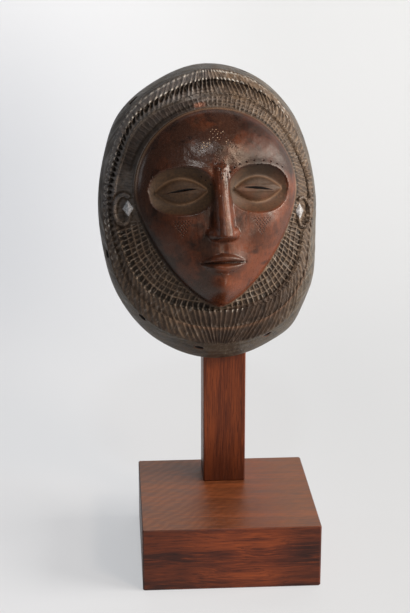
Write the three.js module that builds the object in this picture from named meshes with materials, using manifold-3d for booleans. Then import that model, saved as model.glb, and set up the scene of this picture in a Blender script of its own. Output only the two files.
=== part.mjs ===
// Chokwe face mask of carved wood, leaning on the square post of its wooden stand.
// Millimetres, +Z up, the mask looks towards -Y, origin at the middle of the base's underside.
import * as THREE from 'three';
import { mergeVertices } from 'three/addons/utils/BufferGeometryUtils.js';
import Module from 'manifold-3d';

const wasm = await Module();
wasm.setup();

// Stand
const BASE_SIDE = 150;
const BASE_HEIGHT = 55;
const BASE_EASE = 0.8;
const POST_SIDE = 37;
const POST_EASE = 0.6;
const POST_X = 0.5;
const POST_FRONT_Y = 23.8;
const POST_TOP_Z = 372.7;
const CONTACT_GAP = 0.3;

// Pose of the mask: turn about Z, lean back, middle of its rear rim
const MASK_TURN = THREE.MathUtils.degToRad(6.5);
const MASK_LEAN = THREE.MathUtils.degToRad(14);
const MASK_MIDDLE = new THREE.Vector3(-12.2, 47.3, 296.9);

// Plan of the mask: u to the right, v up, w forward from the plane of the rear rim.
// Radii are taken clockwise from the top about the plan centre.
const PLAN_CENTRE = { u: 0, v: 12 };
const RIM_RADII = [
  115.2, 113.2, 105.8, 97.2, 95.1, 100.5, 120.4, 135.4,
  139, 130.4, 115.6, 101.4, 96, 97.3, 105.6, 109.8,
];
const RIM_CORNER = { angle: THREE.MathUtils.degToRad(149), rise: 2.6, spread: THREE.MathUtils.degToRad(7) };
const RIM_ROUNDING = 1.5;
const RIM_LIFT = 3;

// Two ribbed bands of the coiffure, at every eighth turn: widths from the rim inwards,
// and heights of the outer edge, of the ridge between the bands and of the inner edge
const RIM_WIDTHS = [7.7, 7.8, 4.2, 7, 14, 4.6, 3, 5.3];
const OUTER_BAND_WIDTHS = [9.5, 5.5, 3.5, 10, 14.5, 7.5, 3.5, 6];
const INNER_BAND_WIDTHS = [12.5, 9.5, 5, 11, 15, 7, 4.5, 6];
const OUTER_EDGE_HEIGHTS = [26, 20, 14, 22, 26, 20, 13, 20];
const RIDGE_HEIGHTS = [34, 28.5, 23, 30, 34, 28.5, 22, 28.5];
const INNER_EDGE_HEIGHTS = [42, 38, 34, 39, 42, 38, 34, 38];
const RIB_COUNT = 124;
const RIB_DEPTH = 1.9;
const RIB_SLANT = 1.2;
const BAND_RISE = 1.6;
const BAND_STEP_RUN = 1.4;
const RIDGE_DROP = 2.4;
// How much of the ridge's step shows, clockwise from the top
const RIDGE_STEP_SHARES = [1, 0.6, 0.3, 0.25, 0.3, 0.25, 0.4, 0.85];

// Net of fine raised lines between the bands and the face
const NET_DROP = 3.6;
const NET_STEP_RUN = 1.6;
const NET_PITCH = 5.2;
const NET_DEPTH = 2.0;
const NET_MARGIN = 0.9;
const NET_FACE_HEIGHT = 43.2;

// Face: outline about the eye line, then the dome and its thirds
const FACE_HALF_WIDTH = 68.5;
const FACE_MIDDLE_U = -1;
const HAIRLINE_V = 85.5;
const CHIN_V = -79.7;
const FACE_HEIGHT = HAIRLINE_V - CHIN_V;
const BROW_V = HAIRLINE_V - FACE_HEIGHT / 3;
const EYE_V = HAIRLINE_V - FACE_HEIGHT * 0.417;
const NOSE_BASE_V = HAIRLINE_V - FACE_HEIGHT * 2 / 3;
const MOUTH_V = NOSE_BASE_V - FACE_HEIGHT / 9;
const JAW_ROUNDNESS = 1.5;
const FACE_EDGE_W = 45.5;
const DOME_RISE = 27;

const SOCKET = { offset: 32, halfWidth: 26.5, halfHeight: 20, depth: 9.5, squareness: 2.3, innerShare: 0.8 };
const LID = { halfWidth: 21.5, halfHeight: 10.5, rise: 7 };
const SLIT = { halfWidth: 13, halfHeight: 1, lift: 0.4, frontW: 67, slope: Math.tan(28 * Math.PI / 180) };
const NOSE = {
  rootV: BROW_V - 2,
  tipV: NOSE_BASE_V + 4,
  rootRise: 4.5,
  tipRise: 17,
  rootHalf: 2.2,
  tipHalf: 4,
};
const NOSTRIL_WING = { offset: 8.6, v: NOSE_BASE_V + 5.5, halfWidth: 5.4, halfHeight: 5.6, rise: 8 };
const LIP = { halfWidth: 20, upperRise: 4.6, upperReach: 7.6, lowerRise: 5.2, lowerReach: 9, groove: 1.8 };

// Hollow behind, seen from the back
const RIM_THICKNESS = 8;
const WALL_INSET = 11;
const WALL_BACK = 7;
const FACE_WALL = 13;

// Holes round the rim by angle and radius, the one at the upper left cut as a short slot
const RIM_HOLE_RADIUS = 1.7;
const RIM_HOLES = [
  [17.3, 111.2],
  [59.2, 97.2],
  [134.4, 117.5],
  [160.3, 126.5],
  [187.4, 128],
  [213.1, 117.5],
  [244.1, 100.4],
];
const RIM_SLOT = { angle: 323.1, radius: 104, halfLength: 4.5, halfWidth: 1.2 };

// Ears in the net at the height of the eyes
const EAR = { halfWidth: 7, halfHeight: 12.5, rimRadius: 2, lift: 1.2, facetInset: 3.4, facetRise: 3.4 };
const EARS = [{ side: -1, u: -77.7, v: 4 }, { side: 1, u: 75, v: -4 }];

const MASK_COLOUR = 0x4a2c20;
const WOOD_COLOUR = 0x7a4028;

const TURN = Math.PI * 2;
const RIB_SAMPLES = RIB_COUNT * 2;
const RIM_SAMPLES = 64;

function clamp(x) {
  return Math.min(1, Math.max(0, x));
}

function ease(x) {
  const t = clamp(x);
  return t * t * (3 - 2 * t);
}

function hill(x, y, spreadX, spreadY) {
  return Math.exp(-(x * x) / (spreadX * spreadX) - (y * y) / (spreadY * spreadY));
}

// Smooth closed curve through values spaced evenly over one turn
function roundCurve(values) {
  const count = values.length;
  return (angle) => {
    const place = ((angle / TURN) % 1 + 1) % 1 * count;
    const k = Math.floor(place);
    const t = place - k;
    const at = (n) => values[(k + n + count) % count];
    const [a, b, c, d] = [at(-1), at(0), at(1), at(2)];
    return b + 0.5 * t * (c - a + t * (2 * a - 5 * b + 4 * c - d + t * (3 * (b - c) + d - a)));
  };
}

// Line at a distance inside another one
function inside(radiusOf, widths) {
  const width = roundCurve(widths);
  return (angle) => radiusOf(angle) - width(angle);
}

const rimCurve = roundCurve(RIM_RADII);
const outerBand = { radius: inside(rimCurve, RIM_WIDTHS), height: roundCurve(OUTER_EDGE_HEIGHTS) };
const ridge = { radius: inside(outerBand.radius, OUTER_BAND_WIDTHS), height: roundCurve(RIDGE_HEIGHTS) };
const ridgeStepShare = roundCurve(RIDGE_STEP_SHARES);
const innerBand = { radius: inside(ridge.radius, INNER_BAND_WIDTHS), height: roundCurve(INNER_EDGE_HEIGHTS) };

function rimRadius(angle) {
  return rimCurve(angle) + RIM_CORNER.rise * hill(angle - RIM_CORNER.angle, 0, RIM_CORNER.spread, 1);
}

// How far out a place of the face lies: 0 on the eye line's middle, 1 on the face's edge
function faceShare(u, v) {
  const x = Math.abs(u - FACE_MIDDLE_U) / FACE_HALF_WIDTH;
  if (v > EYE_V) return Math.hypot(x, (v - EYE_V) / (HAIRLINE_V - EYE_V));
  const y = (EYE_V - v) / (EYE_V - CHIN_V);
  return Math.pow(Math.pow(x, JAW_ROUNDNESS) + Math.pow(y, JAW_ROUNDNESS), 1 / JAW_ROUNDNESS);
}

function planPoint(angle, radius) {
  return [PLAN_CENTRE.u + radius * Math.sin(angle), PLAN_CENTRE.v + radius * Math.cos(angle)];
}

// Radius of the face's edge seen from the plan centre, found by halving
function findFaceRadius(angle) {
  let near = 20;
  let far = 130;
  for (let step = 0; step < 30; step++) {
    const middle = (near + far) / 2;
    if (faceShare(...planPoint(angle, middle)) < 1) near = middle;
    else far = middle;
  }
  return near;
}

function faceDome(share) {
  return FACE_EDGE_W + DOME_RISE * Math.pow(1 - Math.pow(clamp(share), 2.4), 0.62);
}

// Distance from the socket's middle, 1 on its rim
function socketShare(u, v) {
  const x = Math.abs(Math.abs(u - FACE_MIDDLE_U) - SOCKET.offset) / SOCKET.halfWidth;
  const y = Math.abs(v - EYE_V) / SOCKET.halfHeight;
  return Math.pow(Math.pow(x, SOCKET.squareness) + Math.pow(y, SOCKET.squareness), 1 / SOCKET.squareness);
}

// Distance from the lid's long axis, 1 on its almond outline
function lidShare(u, v) {
  const x = (Math.abs(u - FACE_MIDDLE_U) - SOCKET.offset) / LID.halfWidth;
  if (Math.abs(x) >= 0.98) return 9;
  return Math.abs(v - EYE_V) / (LID.halfHeight * (1 - x * x));
}

// Outline of the lids as a line: positive outside
function lidLine(u, v) {
  const x = (Math.abs(u - FACE_MIDDLE_U) - SOCKET.offset) / LID.halfWidth;
  return (Math.abs(v - EYE_V) - LID.halfHeight * (1 - x * x)) * 0.9;
}

// Outlines of the lips: reach 0 is their parting, others bow from corner to corner
function lipLine(u, v, reach) {
  const x = Math.abs(u - FACE_MIDDLE_U) / LIP.halfWidth;
  return x < 1 ? v - MOUTH_V - reach * (1 - x * x) : 20;
}

// Half width of the flat of the nose at a height, far off above and below it
function noseHalf(v) {
  const t = (NOSE.rootV - v) / (NOSE.rootV - NOSE.tipV);
  if (t < -0.1 || t > 1.1) return -20;
  return NOSE.rootHalf + (NOSE.tipHalf - NOSE.rootHalf) * clamp(t);
}

function noseRise(u, v) {
  const t = clamp((NOSE.rootV - v) / (NOSE.rootV - NOSE.tipV));
  const rise = NOSE.rootRise + (NOSE.tipRise - NOSE.rootRise) * Math.pow(t, 1.2);
  const half = NOSE.rootHalf + (NOSE.tipHalf - NOSE.rootHalf) * t;
  const side = 5 + 3 * t;
  const across = 1 - ease((Math.abs(u) - half) / side);
  const above = 1 - ease((v - NOSE.rootV) / 12);
  const below = 1 - ease((NOSE.tipV - 1.2 - v) / 4.4);
  return rise * across * above * below;
}

function wingRise(u, v) {
  const x = (Math.abs(u) - NOSTRIL_WING.offset) / NOSTRIL_WING.halfWidth;
  const y = (v - NOSTRIL_WING.v) / NOSTRIL_WING.halfHeight;
  return NOSTRIL_WING.rise * Math.sqrt(Math.max(0, 1 - x * x - y * y));
}

function lipRise(u, v) {
  const share = Math.max(0, 1 - Math.pow(u / LIP.halfWidth, 2));
  if (share < 0.02) return 0;
  const above = v > MOUTH_V;
  const place = Math.abs(v - MOUTH_V) / ((above ? LIP.upperReach : LIP.lowerReach) * share);
  if (place > 1) return 0;
  const rise = above ? LIP.upperRise : LIP.lowerRise;
  const swell = rise * Math.pow(1 - Math.pow(2 * place - 1, 2), 0.7);
  return Math.sqrt(share) * (swell - LIP.groove * hill(0, place, 1, 0.2));
}

// Height of the face above the rear rim, all features included
function faceHeight(u, v) {
  const x = u - FACE_MIDDLE_U;
  const across = Math.abs(x);
  let w = faceDome(faceShare(u, v));
  w += 2.5 * hill(x, v - HAIRLINE_V + 38, 38, 24);
  w += 3.2 * hill(across - 37, v - NOSE_BASE_V - 10, 17, 20);
  w += 6 * hill(x, v - MOUTH_V + 2, 24, 17);
  w += 6 * hill(x, v - CHIN_V - 14, 14, 9);
  const socket = socketShare(u, v);
  if (socket < 1) w -= SOCKET.depth * (1 - Math.pow(socket, 2.6));
  else w += 1.2 * Math.exp(-Math.pow((socket - 1) * SOCKET.halfHeight / 4, 2)) * ease((v - EYE_V + 6) / 12);
  const lid = lidShare(u, v);
  if (lid < 1) {
    const taper = 1 - Math.pow((across - SOCKET.offset) / LID.halfWidth, 2);
    w += LID.rise * Math.pow(1 - lid * lid, 0.6) * Math.sqrt(taper);
  }
  w += Math.max(noseRise(x, v), wingRise(x, v) + 0.3 * noseRise(x, v));
  w += lipRise(x, v);
  w -= 0.8 * hill(x, 0, 3, 1) * ease((v - MOUTH_V - 6) / 3) * ease((NOSE_BASE_V - 1 - v) / 3);
  return w;
}

// Ribs lean from the radial line towards the upright between the four axes of the plan
function leaningAngle(angle, radius) {
  const inner = innerBand.radius(angle);
  return angle - RIB_SLANT * Math.sin(2 * angle) * Math.max(0, radius - inner) / inner;
}

function netFloor(angle, radius) {
  const outer = innerBand.radius(angle) - NET_STEP_RUN;
  const inner = findFaceRadius(angle) + NET_MARGIN;
  const t = clamp((outer - radius) / Math.max(1, outer - inner));
  return (1 - t) * (innerBand.height(angle) - NET_DROP) + t * NET_FACE_HEIGHT;
}

// Surface of closed rings that are sewn together
class Shell {
  constructor() {
    this.points = [];
    this.faces = [];
  }

  point(u, v, w) {
    this.points.push([u, v, w]);
    return this.points.length - 1;
  }

  face(a, b, c) {
    if (a !== b && b !== c && c !== a) this.faces.push([a, b, c]);
  }

  ring(count, place) {
    return Array.from({ length: count }, (_, i) => this.point(...place(i, i / count * TURN)));
  }

  sew(outer, inner, faceBack = false) {
    let i = 0;
    let j = 0;
    while (i < outer.length || j < inner.length) {
      const a = outer[i % outer.length];
      const b = inner[j % inner.length];
      const outerNext = j >= inner.length || (i + 1) / outer.length <= (j + 1) / inner.length;
      const c = outerNext ? outer[(i + 1) % outer.length] : inner[(j + 1) % inner.length];
      if (faceBack) this.face(a, c, b);
      else this.face(a, b, c);
      if (outerNext) i++;
      else j++;
    }
  }
}

// Rim and ribbed bands, from the rear edge inwards; returns the ring where the net begins
function addBands(shell, rearRing) {
  const count = RIB_SAMPLES;
  const edgeRing = (radiusOf, heightOf, samples) => shell.ring(samples, (i, angle) => {
    const turned = leaningAngle(angle, outerBand.radius(angle));
    return [...planPoint(turned, radiusOf(turned)), heightOf(turned)];
  });
  const rimRing = edgeRing(rimRadius, () => RIM_LIFT, rearRing.length);
  shell.sew(rearRing, rimRing);
  const ribRing = (radiusOf, heightOf, depth) => shell.ring(count, (i, angle) => {
    const turned = leaningAngle(angle, radiusOf(angle));
    return [...planPoint(turned, radiusOf(turned)), heightOf(turned) - (i % 2) * depth];
  });
  // Each line: the band line it follows, how far inside it, how much higher, depth of its ribs
  const lines = [
    [outerBand, 0, () => 0, 0],
    [outerBand, BAND_STEP_RUN, () => BAND_RISE + 0.9, RIB_DEPTH],
    [ridge, 0, () => BAND_RISE, RIB_DEPTH],
    [ridge, BAND_STEP_RUN, (a) => BAND_RISE - RIDGE_DROP * ridgeStepShare(a), RIB_DEPTH],
    [innerBand, 0, () => 0, RIB_DEPTH],
    [innerBand, NET_STEP_RUN, () => -NET_DROP, 0],
  ];
  let last = rimRing;
  for (const [line, further, higher, depth] of lines) {
    const ring = ribRing((a) => line.radius(a) - further, (a) => line.height(a) + higher(a), depth);
    shell.sew(last, ring);
    last = ring;
  }
  return last;
}

// Net: rows of cells parallel to the inner band, ending where they meet the face
function addNet(shell, outerRing) {
  const count = outerRing.length;
  const limit = outerRing.map((_, i) => findFaceRadius(i / count * TURN) + NET_MARGIN);
  const edge = shell.ring(count, (i, angle) => [...planPoint(angle, limit[i]), NET_FACE_HEIGHT]);
  const start = outerRing.map((_, i) => innerBand.radius(i / count * TURN) - NET_STEP_RUN);
  const widest = Math.max(...start.map((radius, i) => radius - limit[i]));
  const halfRow = NET_PITCH / 2;
  let last = outerRing;
  for (let k = 1; k * halfRow < widest + halfRow; k++) {
    const row = outerRing.map((_, i) => {
      const angle = i / count * TURN;
      const radius = start[i] - k * halfRow;
      const jaw = angle > TURN * 0.29 && angle < TURN * 0.71;
      if (radius < limit[i] + halfRow * 0.4 || !jaw) return edge[i];
      const cell = i % 2 === 1 && k % 2 === 1;
      return shell.point(...planPoint(angle, radius), netFloor(angle, radius) - (cell ? NET_DEPTH : 0));
    });
    for (let i = 0; i < count; i++) {
      const next = (i + 1) % count;
      const [a, b, c, d] = [last[i], last[next], row[next], row[i]];
      if ((k - 1 + i) % 2 === 0) {
        shell.face(a, c, b);
        shell.face(a, d, c);
      } else {
        shell.face(a, d, b);
        shell.face(b, d, c);
      }
    }
    last = row;
  }
  return edge;
}

// Splits the edges that are asked for, each at its own place, keeping the surface closed
function splitEdges(points, faces, placeOn, longestFirst) {
  const key = (a, b) => (a < b ? `${a}_${b}` : `${b}_${a}`);
  const length = (a, b) => Math.hypot(points[a][0] - points[b][0], points[a][1] - points[b][1]);
  const edgesOf = ([a, b, c]) => [[a, b], [b, c], [c, a]];
  const split = new Map();
  for (const face of faces) {
    for (const [a, b] of edgesOf(face)) {
      const [low, high] = a < b ? [a, b] : [b, a];
      const share = split.has(key(a, b)) ? null : placeOn(points[low], points[high]);
      if (share !== null) split.set(key(a, b), { low, high, share, made: -1 });
    }
  }
  let growing = longestFirst;
  while (growing) {
    growing = false;
    for (const face of faces) {
      const edges = edgesOf(face);
      if (!edges.some(([a, b]) => split.has(key(a, b)))) continue;
      const [a, b] = edges.reduce((x, y) => (length(...y) > length(...x) + 1e-9 ? y : x));
      if (split.has(key(a, b))) continue;
      split.set(key(a, b), { low: Math.min(a, b), high: Math.max(a, b), share: 0.5, made: -1 });
      growing = true;
    }
  }
  const cutOn = (a, b) => {
    const cut = split.get(key(a, b));
    if (!cut) return -1;
    if (cut.made < 0) {
      const [p, q] = [points[cut.low], points[cut.high]];
      cut.made = points.push([0, 1, 2].map((n) => p[n] + cut.share * (q[n] - p[n]))) - 1;
    }
    return cut.made;
  };
  const result = [];
  for (const [a, b, c] of faces) {
    const cuts = [cutOn(a, b), cutOn(b, c), cutOn(c, a)];
    const number = cuts.filter((m) => m >= 0).length;
    if (number === 0) {
      result.push([a, b, c]);
      continue;
    }
    if (number === 3) {
      const [ab, bc, ca] = cuts;
      result.push([a, ab, ca], [ab, b, bc], [ca, bc, c], [ab, bc, ca]);
      continue;
    }
    const turn = number === 1 ? cuts.findIndex((m) => m >= 0) : (cuts.findIndex((m) => m < 0) + 1) % 3;
    const [p, q, r] = [0, 1, 2].map((n) => [a, b, c][(n + turn) % 3]);
    const pq = cuts[turn];
    const qr = cuts[(turn + 1) % 3];
    if (number === 1) {
      result.push([p, pq, r], [pq, q, r]);
    } else if (length(p, qr) < length(pq, r)) {
      result.push([pq, q, qr], [p, pq, qr], [p, qr, r]);
    } else {
      result.push([pq, q, qr], [p, pq, r], [pq, qr, r]);
    }
  }
  return result;
}

// Finer where sockets, lids, nose and lips turn sharply
function wantedEdge(u, v) {
  const x = Math.abs(u - FACE_MIDDLE_U);
  if (faceShare(u, v) > 0.99) return 99;
  if (x < 15 && Math.abs(v - NOSE_BASE_V - 4) < 9) return 4.1;
  if (x < 12 && v < BROW_V && v > NOSE_BASE_V) return 6.4;
  if (x < LIP.halfWidth + 1 && Math.abs(v - MOUTH_V) < 9) return 4.1;
  if (socketShare(u, v) < 1.1) return 7.6;
  return 20;
}

// Lines where the face turns sharply: zero on the line, about a millimetre per unit beside it
const CRISP_LINES = [
  (u, v) => (socketShare(u, v) - 1) * SOCKET.halfHeight,
  (u, v) => lidLine(u, v),
  (u, v) => lipLine(u, v, 0),
  (u, v) => Math.abs(u - FACE_MIDDLE_U) - noseHalf(v),
  (u, v) => (socketShare(u, v) - SOCKET.innerShare) * SOCKET.halfHeight,
  (u, v) => lipLine(u, v, LIP.upperReach),
  (u, v) => lipLine(u, v, -LIP.lowerReach),
];

// Moves corners beside a line onto it, then cuts the edges that still cross it
function cutAlong(points, faces, first, fixed, line) {
  const step = 0.01;
  for (let n = first; n < points.length; n++) {
    const [u, v] = points[n];
    if (fixed.has(n) || faceShare(u, v) > 0.96) continue;
    const d = line(u, v);
    if (Math.abs(d) > 1.5) continue;
    const du = (line(u + step, v) - d) / step;
    const dv = (line(u, v + step) - d) / step;
    const steep = du * du + dv * dv;
    if (steep < 0.3 || steep > 4) continue;
    points[n][0] = u - d * du / steep;
    points[n][1] = v - d * dv / steep;
    fixed.add(n);
  }
  const count = points.length;
  const result = splitEdges(points, faces, (p, q) => {
    const [start, end] = [line(p[0], p[1]), line(q[0], q[1])];
    if (start * end >= 0 || Math.min(Math.abs(start), Math.abs(end)) < 0.4) return null;
    if (Math.max(Math.abs(start), Math.abs(end)) > 12) return null;
    let [low, high] = [0, 1];
    for (let n = 0; n < 20; n++) {
      const middle = (low + high) / 2;
      const here = line(p[0] + middle * (q[0] - p[0]), p[1] + middle * (q[1] - p[1]));
      if (here * start > 0) low = middle;
      else high = middle;
    }
    return (low + high) / 2;
  }, false);
  for (let n = count; n < points.length; n++) fixed.add(n);
  return result;
}

// The face inside its edge ring
function addFace(shell, netEdge) {
  const count = netEdge.length / 2;
  const edge = shell.ring(count, (i, angle) => [...planPoint(angle, findFaceRadius(angle)), FACE_EDGE_W]);
  shell.sew(netEdge, edge);
  const rim = edge.map((n) => shell.points[n]);
  const outerFaces = shell.faces;
  shell.faces = [];
  const first = shell.points.length;
  let last = edge;
  const rings = [[0.94, 2], [0.84, 2], [0.68, 2], [0.5, 4], [0.28, 4], [0.1, 8]];
  for (const [share, every] of rings) {
    const ring = shell.ring(count / every, (i) => {
      const [u, v] = rim[i * every];
      return [FACE_MIDDLE_U + share * (u - FACE_MIDDLE_U), EYE_V + share * (v - EYE_V), 0];
    });
    shell.sew(last, ring);
    last = ring;
  }
  const centre = shell.point(FACE_MIDDLE_U, EYE_V, 0);
  shell.sew(last, [centre]);
  let faces = shell.faces;
  const tooLong = (p, q) => {
    const wanted = wantedEdge((p[0] + q[0]) / 2, (p[1] + q[1]) / 2);
    return Math.hypot(p[0] - q[0], p[1] - q[1]) > wanted ? 0.5 : null;
  };
  for (let pass = 0; pass < 5; pass++) {
    faces = splitEdges(shell.points, faces, tooLong, true);
  }
  const fixed = new Set();
  for (const line of CRISP_LINES) {
    faces = cutAlong(shell.points, faces, first, fixed, line);
  }
  for (let n = first; n < shell.points.length; n++) {
    const point = shell.points[n];
    point[2] = faceHeight(point[0], point[1]);
  }
  shell.faces = outerFaces.concat(faces);
}

// Smooth hollow behind, following the outside at the thickness of the wall
function addHollow(shell, rearRing) {
  const count = 36;
  const along = (angle) => leaningAngle(angle, outerBand.radius(angle));
  const hollowRing = (radiusOf, heightOf) => shell.ring(count, (i, angle) => {
    const turned = along(angle);
    return [...planPoint(turned, radiusOf(turned)), heightOf(turned)];
  });
  const faceRing = (share) => shell.ring(count, (i, angle) => {
    const turned = along(angle);
    const [u, v] = planPoint(turned, findFaceRadius(turned));
    const w = faceDome(share) - FACE_WALL;
    return [FACE_MIDDLE_U + share * (u - FACE_MIDDLE_U), EYE_V + share * (v - EYE_V), w];
  });
  const mouth = (a) => rimRadius(a) - RIM_THICKNESS;
  const rings = [
    hollowRing(mouth, () => 0),
    hollowRing((a) => Math.min(mouth(a) - 0.5, outerBand.radius(a) - 7), (a) => outerBand.height(a) * 0.6),
    hollowRing((a) => ridge.radius(a) - WALL_INSET, (a) => ridge.height(a) - WALL_BACK),
    hollowRing((a) => findFaceRadius(a) - 3, () => FACE_EDGE_W - 10),
    faceRing(0.78),
    faceRing(0.45),
  ];
  let last = rearRing;
  for (const ring of rings) {
    shell.sew(last, ring, true);
    last = ring;
  }
  shell.sew(last, [shell.point(FACE_MIDDLE_U, EYE_V, faceDome(0) - FACE_WALL)], true);
}

function solidOf(geometry) {
  const plain = geometry.clone();
  plain.deleteAttribute('normal');
  plain.deleteAttribute('uv');
  const merged = mergeVertices(plain, 1e-4);
  return new wasm.Manifold(new wasm.Mesh({
    numProp: 3,
    vertProperties: new Float32Array(merged.attributes.position.array),
    triVerts: new Uint32Array(merged.index.array),
  }));
}

function shellSolid(shell) {
  const geometry = new THREE.BufferGeometry();
  geometry.setAttribute('position', new THREE.Float32BufferAttribute(shell.points.flat(), 3));
  geometry.setIndex(shell.faces.flat());
  return solidOf(geometry);
}

function geometryOf(solid) {
  const mesh = solid.getMesh();
  const geometry = new THREE.BufferGeometry();
  geometry.setAttribute('position', new THREE.BufferAttribute(new Float32Array(mesh.vertProperties), 3));
  geometry.setIndex(new THREE.BufferAttribute(new Uint32Array(mesh.triVerts), 1));
  geometry.computeVertexNormals();
  return geometry;
}

function carvedBody() {
  const shell = new Shell();
  const rearRing = shell.ring(RIM_SAMPLES, (i, angle) => {
    const turned = leaningAngle(angle, outerBand.radius(angle));
    return [...planPoint(turned, rimRadius(turned) - RIM_ROUNDING), 0];
  });
  addFace(shell, addNet(shell, addBands(shell, rearRing)));
  addHollow(shell, rearRing);
  return shellSolid(shell);
}

// Height of the coiffure's smooth surface between rim and outer band
function rimSurface(angle, radius) {
  const run = rimRadius(angle) - outerBand.radius(angle);
  const rise = outerBand.height(angle) - RIM_LIFT;
  return { w: RIM_LIFT + rise * (rimRadius(angle) - radius) / run, run, rise };
}

// Cylinder or slot across the rim's wall, square to its outer surface
function rimCutter(degrees, radius, profile) {
  const angle = THREE.MathUtils.degToRad(degrees);
  const { w, run, rise } = rimSurface(angle, radius);
  const outward = new THREE.Vector3(Math.sin(angle) * rise, Math.cos(angle) * rise, run).normalize();
  const tangent = new THREE.Vector3(Math.cos(angle), -Math.sin(angle), 0);
  const third = new THREE.Vector3().crossVectors(outward, tangent);
  const basis = new THREE.Matrix4().makeBasis(tangent, third, outward);
  const [u, v] = planPoint(angle, radius);
  basis.setPosition(new THREE.Vector3(u, v, w).addScaledVector(outward, -18));
  const cutter = new THREE.ExtrudeGeometry(profile, { depth: 24, bevelEnabled: false, curveSegments: 6 });
  return solidOf(cutter.applyMatrix4(basis));
}

function eyeCutter(side) {
  const points = [];
  const steps = 6;
  for (let n = 0; n <= steps * 2; n++) {
    const t = n <= steps ? n / steps : (2 * steps - n) / steps;
    const x = (2 * t - 1) * SLIT.halfWidth;
    const half = SLIT.halfHeight * (1 - Math.pow(2 * t - 1, 2)) * (n <= steps ? 1 : -1);
    if (n === 2 * steps) continue;
    points.push(new THREE.Vector2(x, half + SLIT.lift * (1 - Math.pow(2 * t - 1, 2))));
  }
  const cutter = new THREE.ExtrudeGeometry(new THREE.Shape(points), { depth: 60, bevelEnabled: false });
  cutter.translate(FACE_MIDDLE_U + side * SOCKET.offset, EYE_V, 35);
  const drop = new THREE.Matrix4().set(
    1, 0, 0, 0,
    0, 1, SLIT.slope, -SLIT.slope * SLIT.frontW,
    0, 0, 1, 0,
    0, 0, 0, 1,
  );
  return solidOf(cutter.applyMatrix4(drop));
}

// Rounded roll along a path, closed at both ends
function roll(path, radius, sides) {
  const shell = new Shell();
  const curve = new THREE.CatmullRomCurve3(path);
  const steps = path.length;
  const forward = new THREE.Vector3(0, 0, 1);
  let last = [shell.point(...path[0].toArray())];
  for (let n = 0; n <= steps; n++) {
    const centre = curve.getPointAt(n / steps);
    const across = curve.getTangentAt(n / steps).cross(forward).normalize();
    const ring = shell.ring(sides, (i, angle) => centre.clone()
      .addScaledVector(across, radius * Math.cos(angle))
      .addScaledVector(forward, radius * Math.sin(angle)).toArray());
    shell.sew(last, ring);
    last = ring;
  }
  shell.sew(last, [shell.point(...path[path.length - 1].toArray())]);
  return shell;
}

function mound(u, v, w, halfWidth, halfHeight, rise) {
  const ball = new THREE.SphereGeometry(1, 8, 4);
  ball.scale(halfWidth, halfHeight, rise);
  ball.translate(u, v, w);
  return solidOf(ball);
}

// Ear: a rim that curls in at the lobe, and a smooth facet beside the face
function earSolid({ side, u, v }) {
  const surface = (x, y) => {
    const angle = Math.atan2(x - PLAN_CENTRE.u, y - PLAN_CENTRE.v);
    return netFloor(angle, Math.hypot(x - PLAN_CENTRE.u, y - PLAN_CENTRE.v));
  };
  const path = [];
  const steps = 12;
  for (let n = 0; n <= steps; n++) {
    const bend = THREE.MathUtils.degToRad(120 - 330 * n / steps);
    const shrink = 1 - 0.6 * ease((n / steps - 0.5) / 0.5);
    const x = u + side * EAR.halfWidth * shrink * Math.cos(bend);
    const y = v + EAR.halfHeight * (shrink * Math.sin(bend) - 0.55 * (1 - shrink));
    path.push(new THREE.Vector3(x, y, surface(x, y) + EAR.lift));
  }
  const rim = shellSolid(roll(path, EAR.rimRadius, 5));
  const facetU = u - side * EAR.facetInset;
  return rim.add(mound(facetU, v + 1, surface(facetU, v) + 0.5, 4, 6.5, EAR.facetRise));
}

function maskGeometry() {
  let solid = carvedBody();
  for (const ear of EARS) {
    solid = solid.add(earSolid(ear));
  }
  for (const side of [-1, 1]) {
    solid = solid.subtract(eyeCutter(side));
  }
  const round = new THREE.Shape();
  round.absarc(0, 0, RIM_HOLE_RADIUS, 0, TURN, false);
  for (const [degrees, radius] of RIM_HOLES) {
    solid = solid.subtract(rimCutter(degrees, radius, round));
  }
  const slot = new THREE.Shape([
    new THREE.Vector2(-RIM_SLOT.halfLength, -RIM_SLOT.halfWidth),
    new THREE.Vector2(RIM_SLOT.halfLength, -RIM_SLOT.halfWidth),
    new THREE.Vector2(RIM_SLOT.halfLength, RIM_SLOT.halfWidth),
    new THREE.Vector2(-RIM_SLOT.halfLength, RIM_SLOT.halfWidth),
  ]);
  solid = solid.subtract(rimCutter(RIM_SLOT.angle, RIM_SLOT.radius, slot));
  return geometryOf(solid);
}

// Places the plan of the mask in the room: leaning back and turned a little
function poseMatrix() {
  const right = new THREE.Vector3(Math.cos(MASK_TURN), Math.sin(MASK_TURN), 0);
  const forward = new THREE.Vector3(
    Math.sin(MASK_TURN) * Math.cos(MASK_LEAN),
    -Math.cos(MASK_TURN) * Math.cos(MASK_LEAN),
    Math.sin(MASK_LEAN),
  );
  const up = new THREE.Vector3().crossVectors(forward, right);
  return new THREE.Matrix4().makeBasis(right, up, forward).setPosition(MASK_MIDDLE);
}

// Square block with every edge slightly eased
function block(side, height, easing) {
  const half = side / 2 - easing;
  const corner = easing;
  const shape = new THREE.Shape([
    new THREE.Vector2(-half, -half + corner),
    new THREE.Vector2(-half + corner, -half),
    new THREE.Vector2(half - corner, -half),
    new THREE.Vector2(half, -half + corner),
    new THREE.Vector2(half, half - corner),
    new THREE.Vector2(half - corner, half),
    new THREE.Vector2(-half + corner, half),
    new THREE.Vector2(-half, half - corner),
  ]);
  const solid = new THREE.ExtrudeGeometry(shape, {
    depth: height - 2 * easing,
    bevelEnabled: true,
    bevelThickness: easing,
    bevelSize: easing,
    bevelSegments: 1,
  });
  solid.translate(0, 0, easing);
  return geometryOf(solidOf(solid));
}

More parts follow.
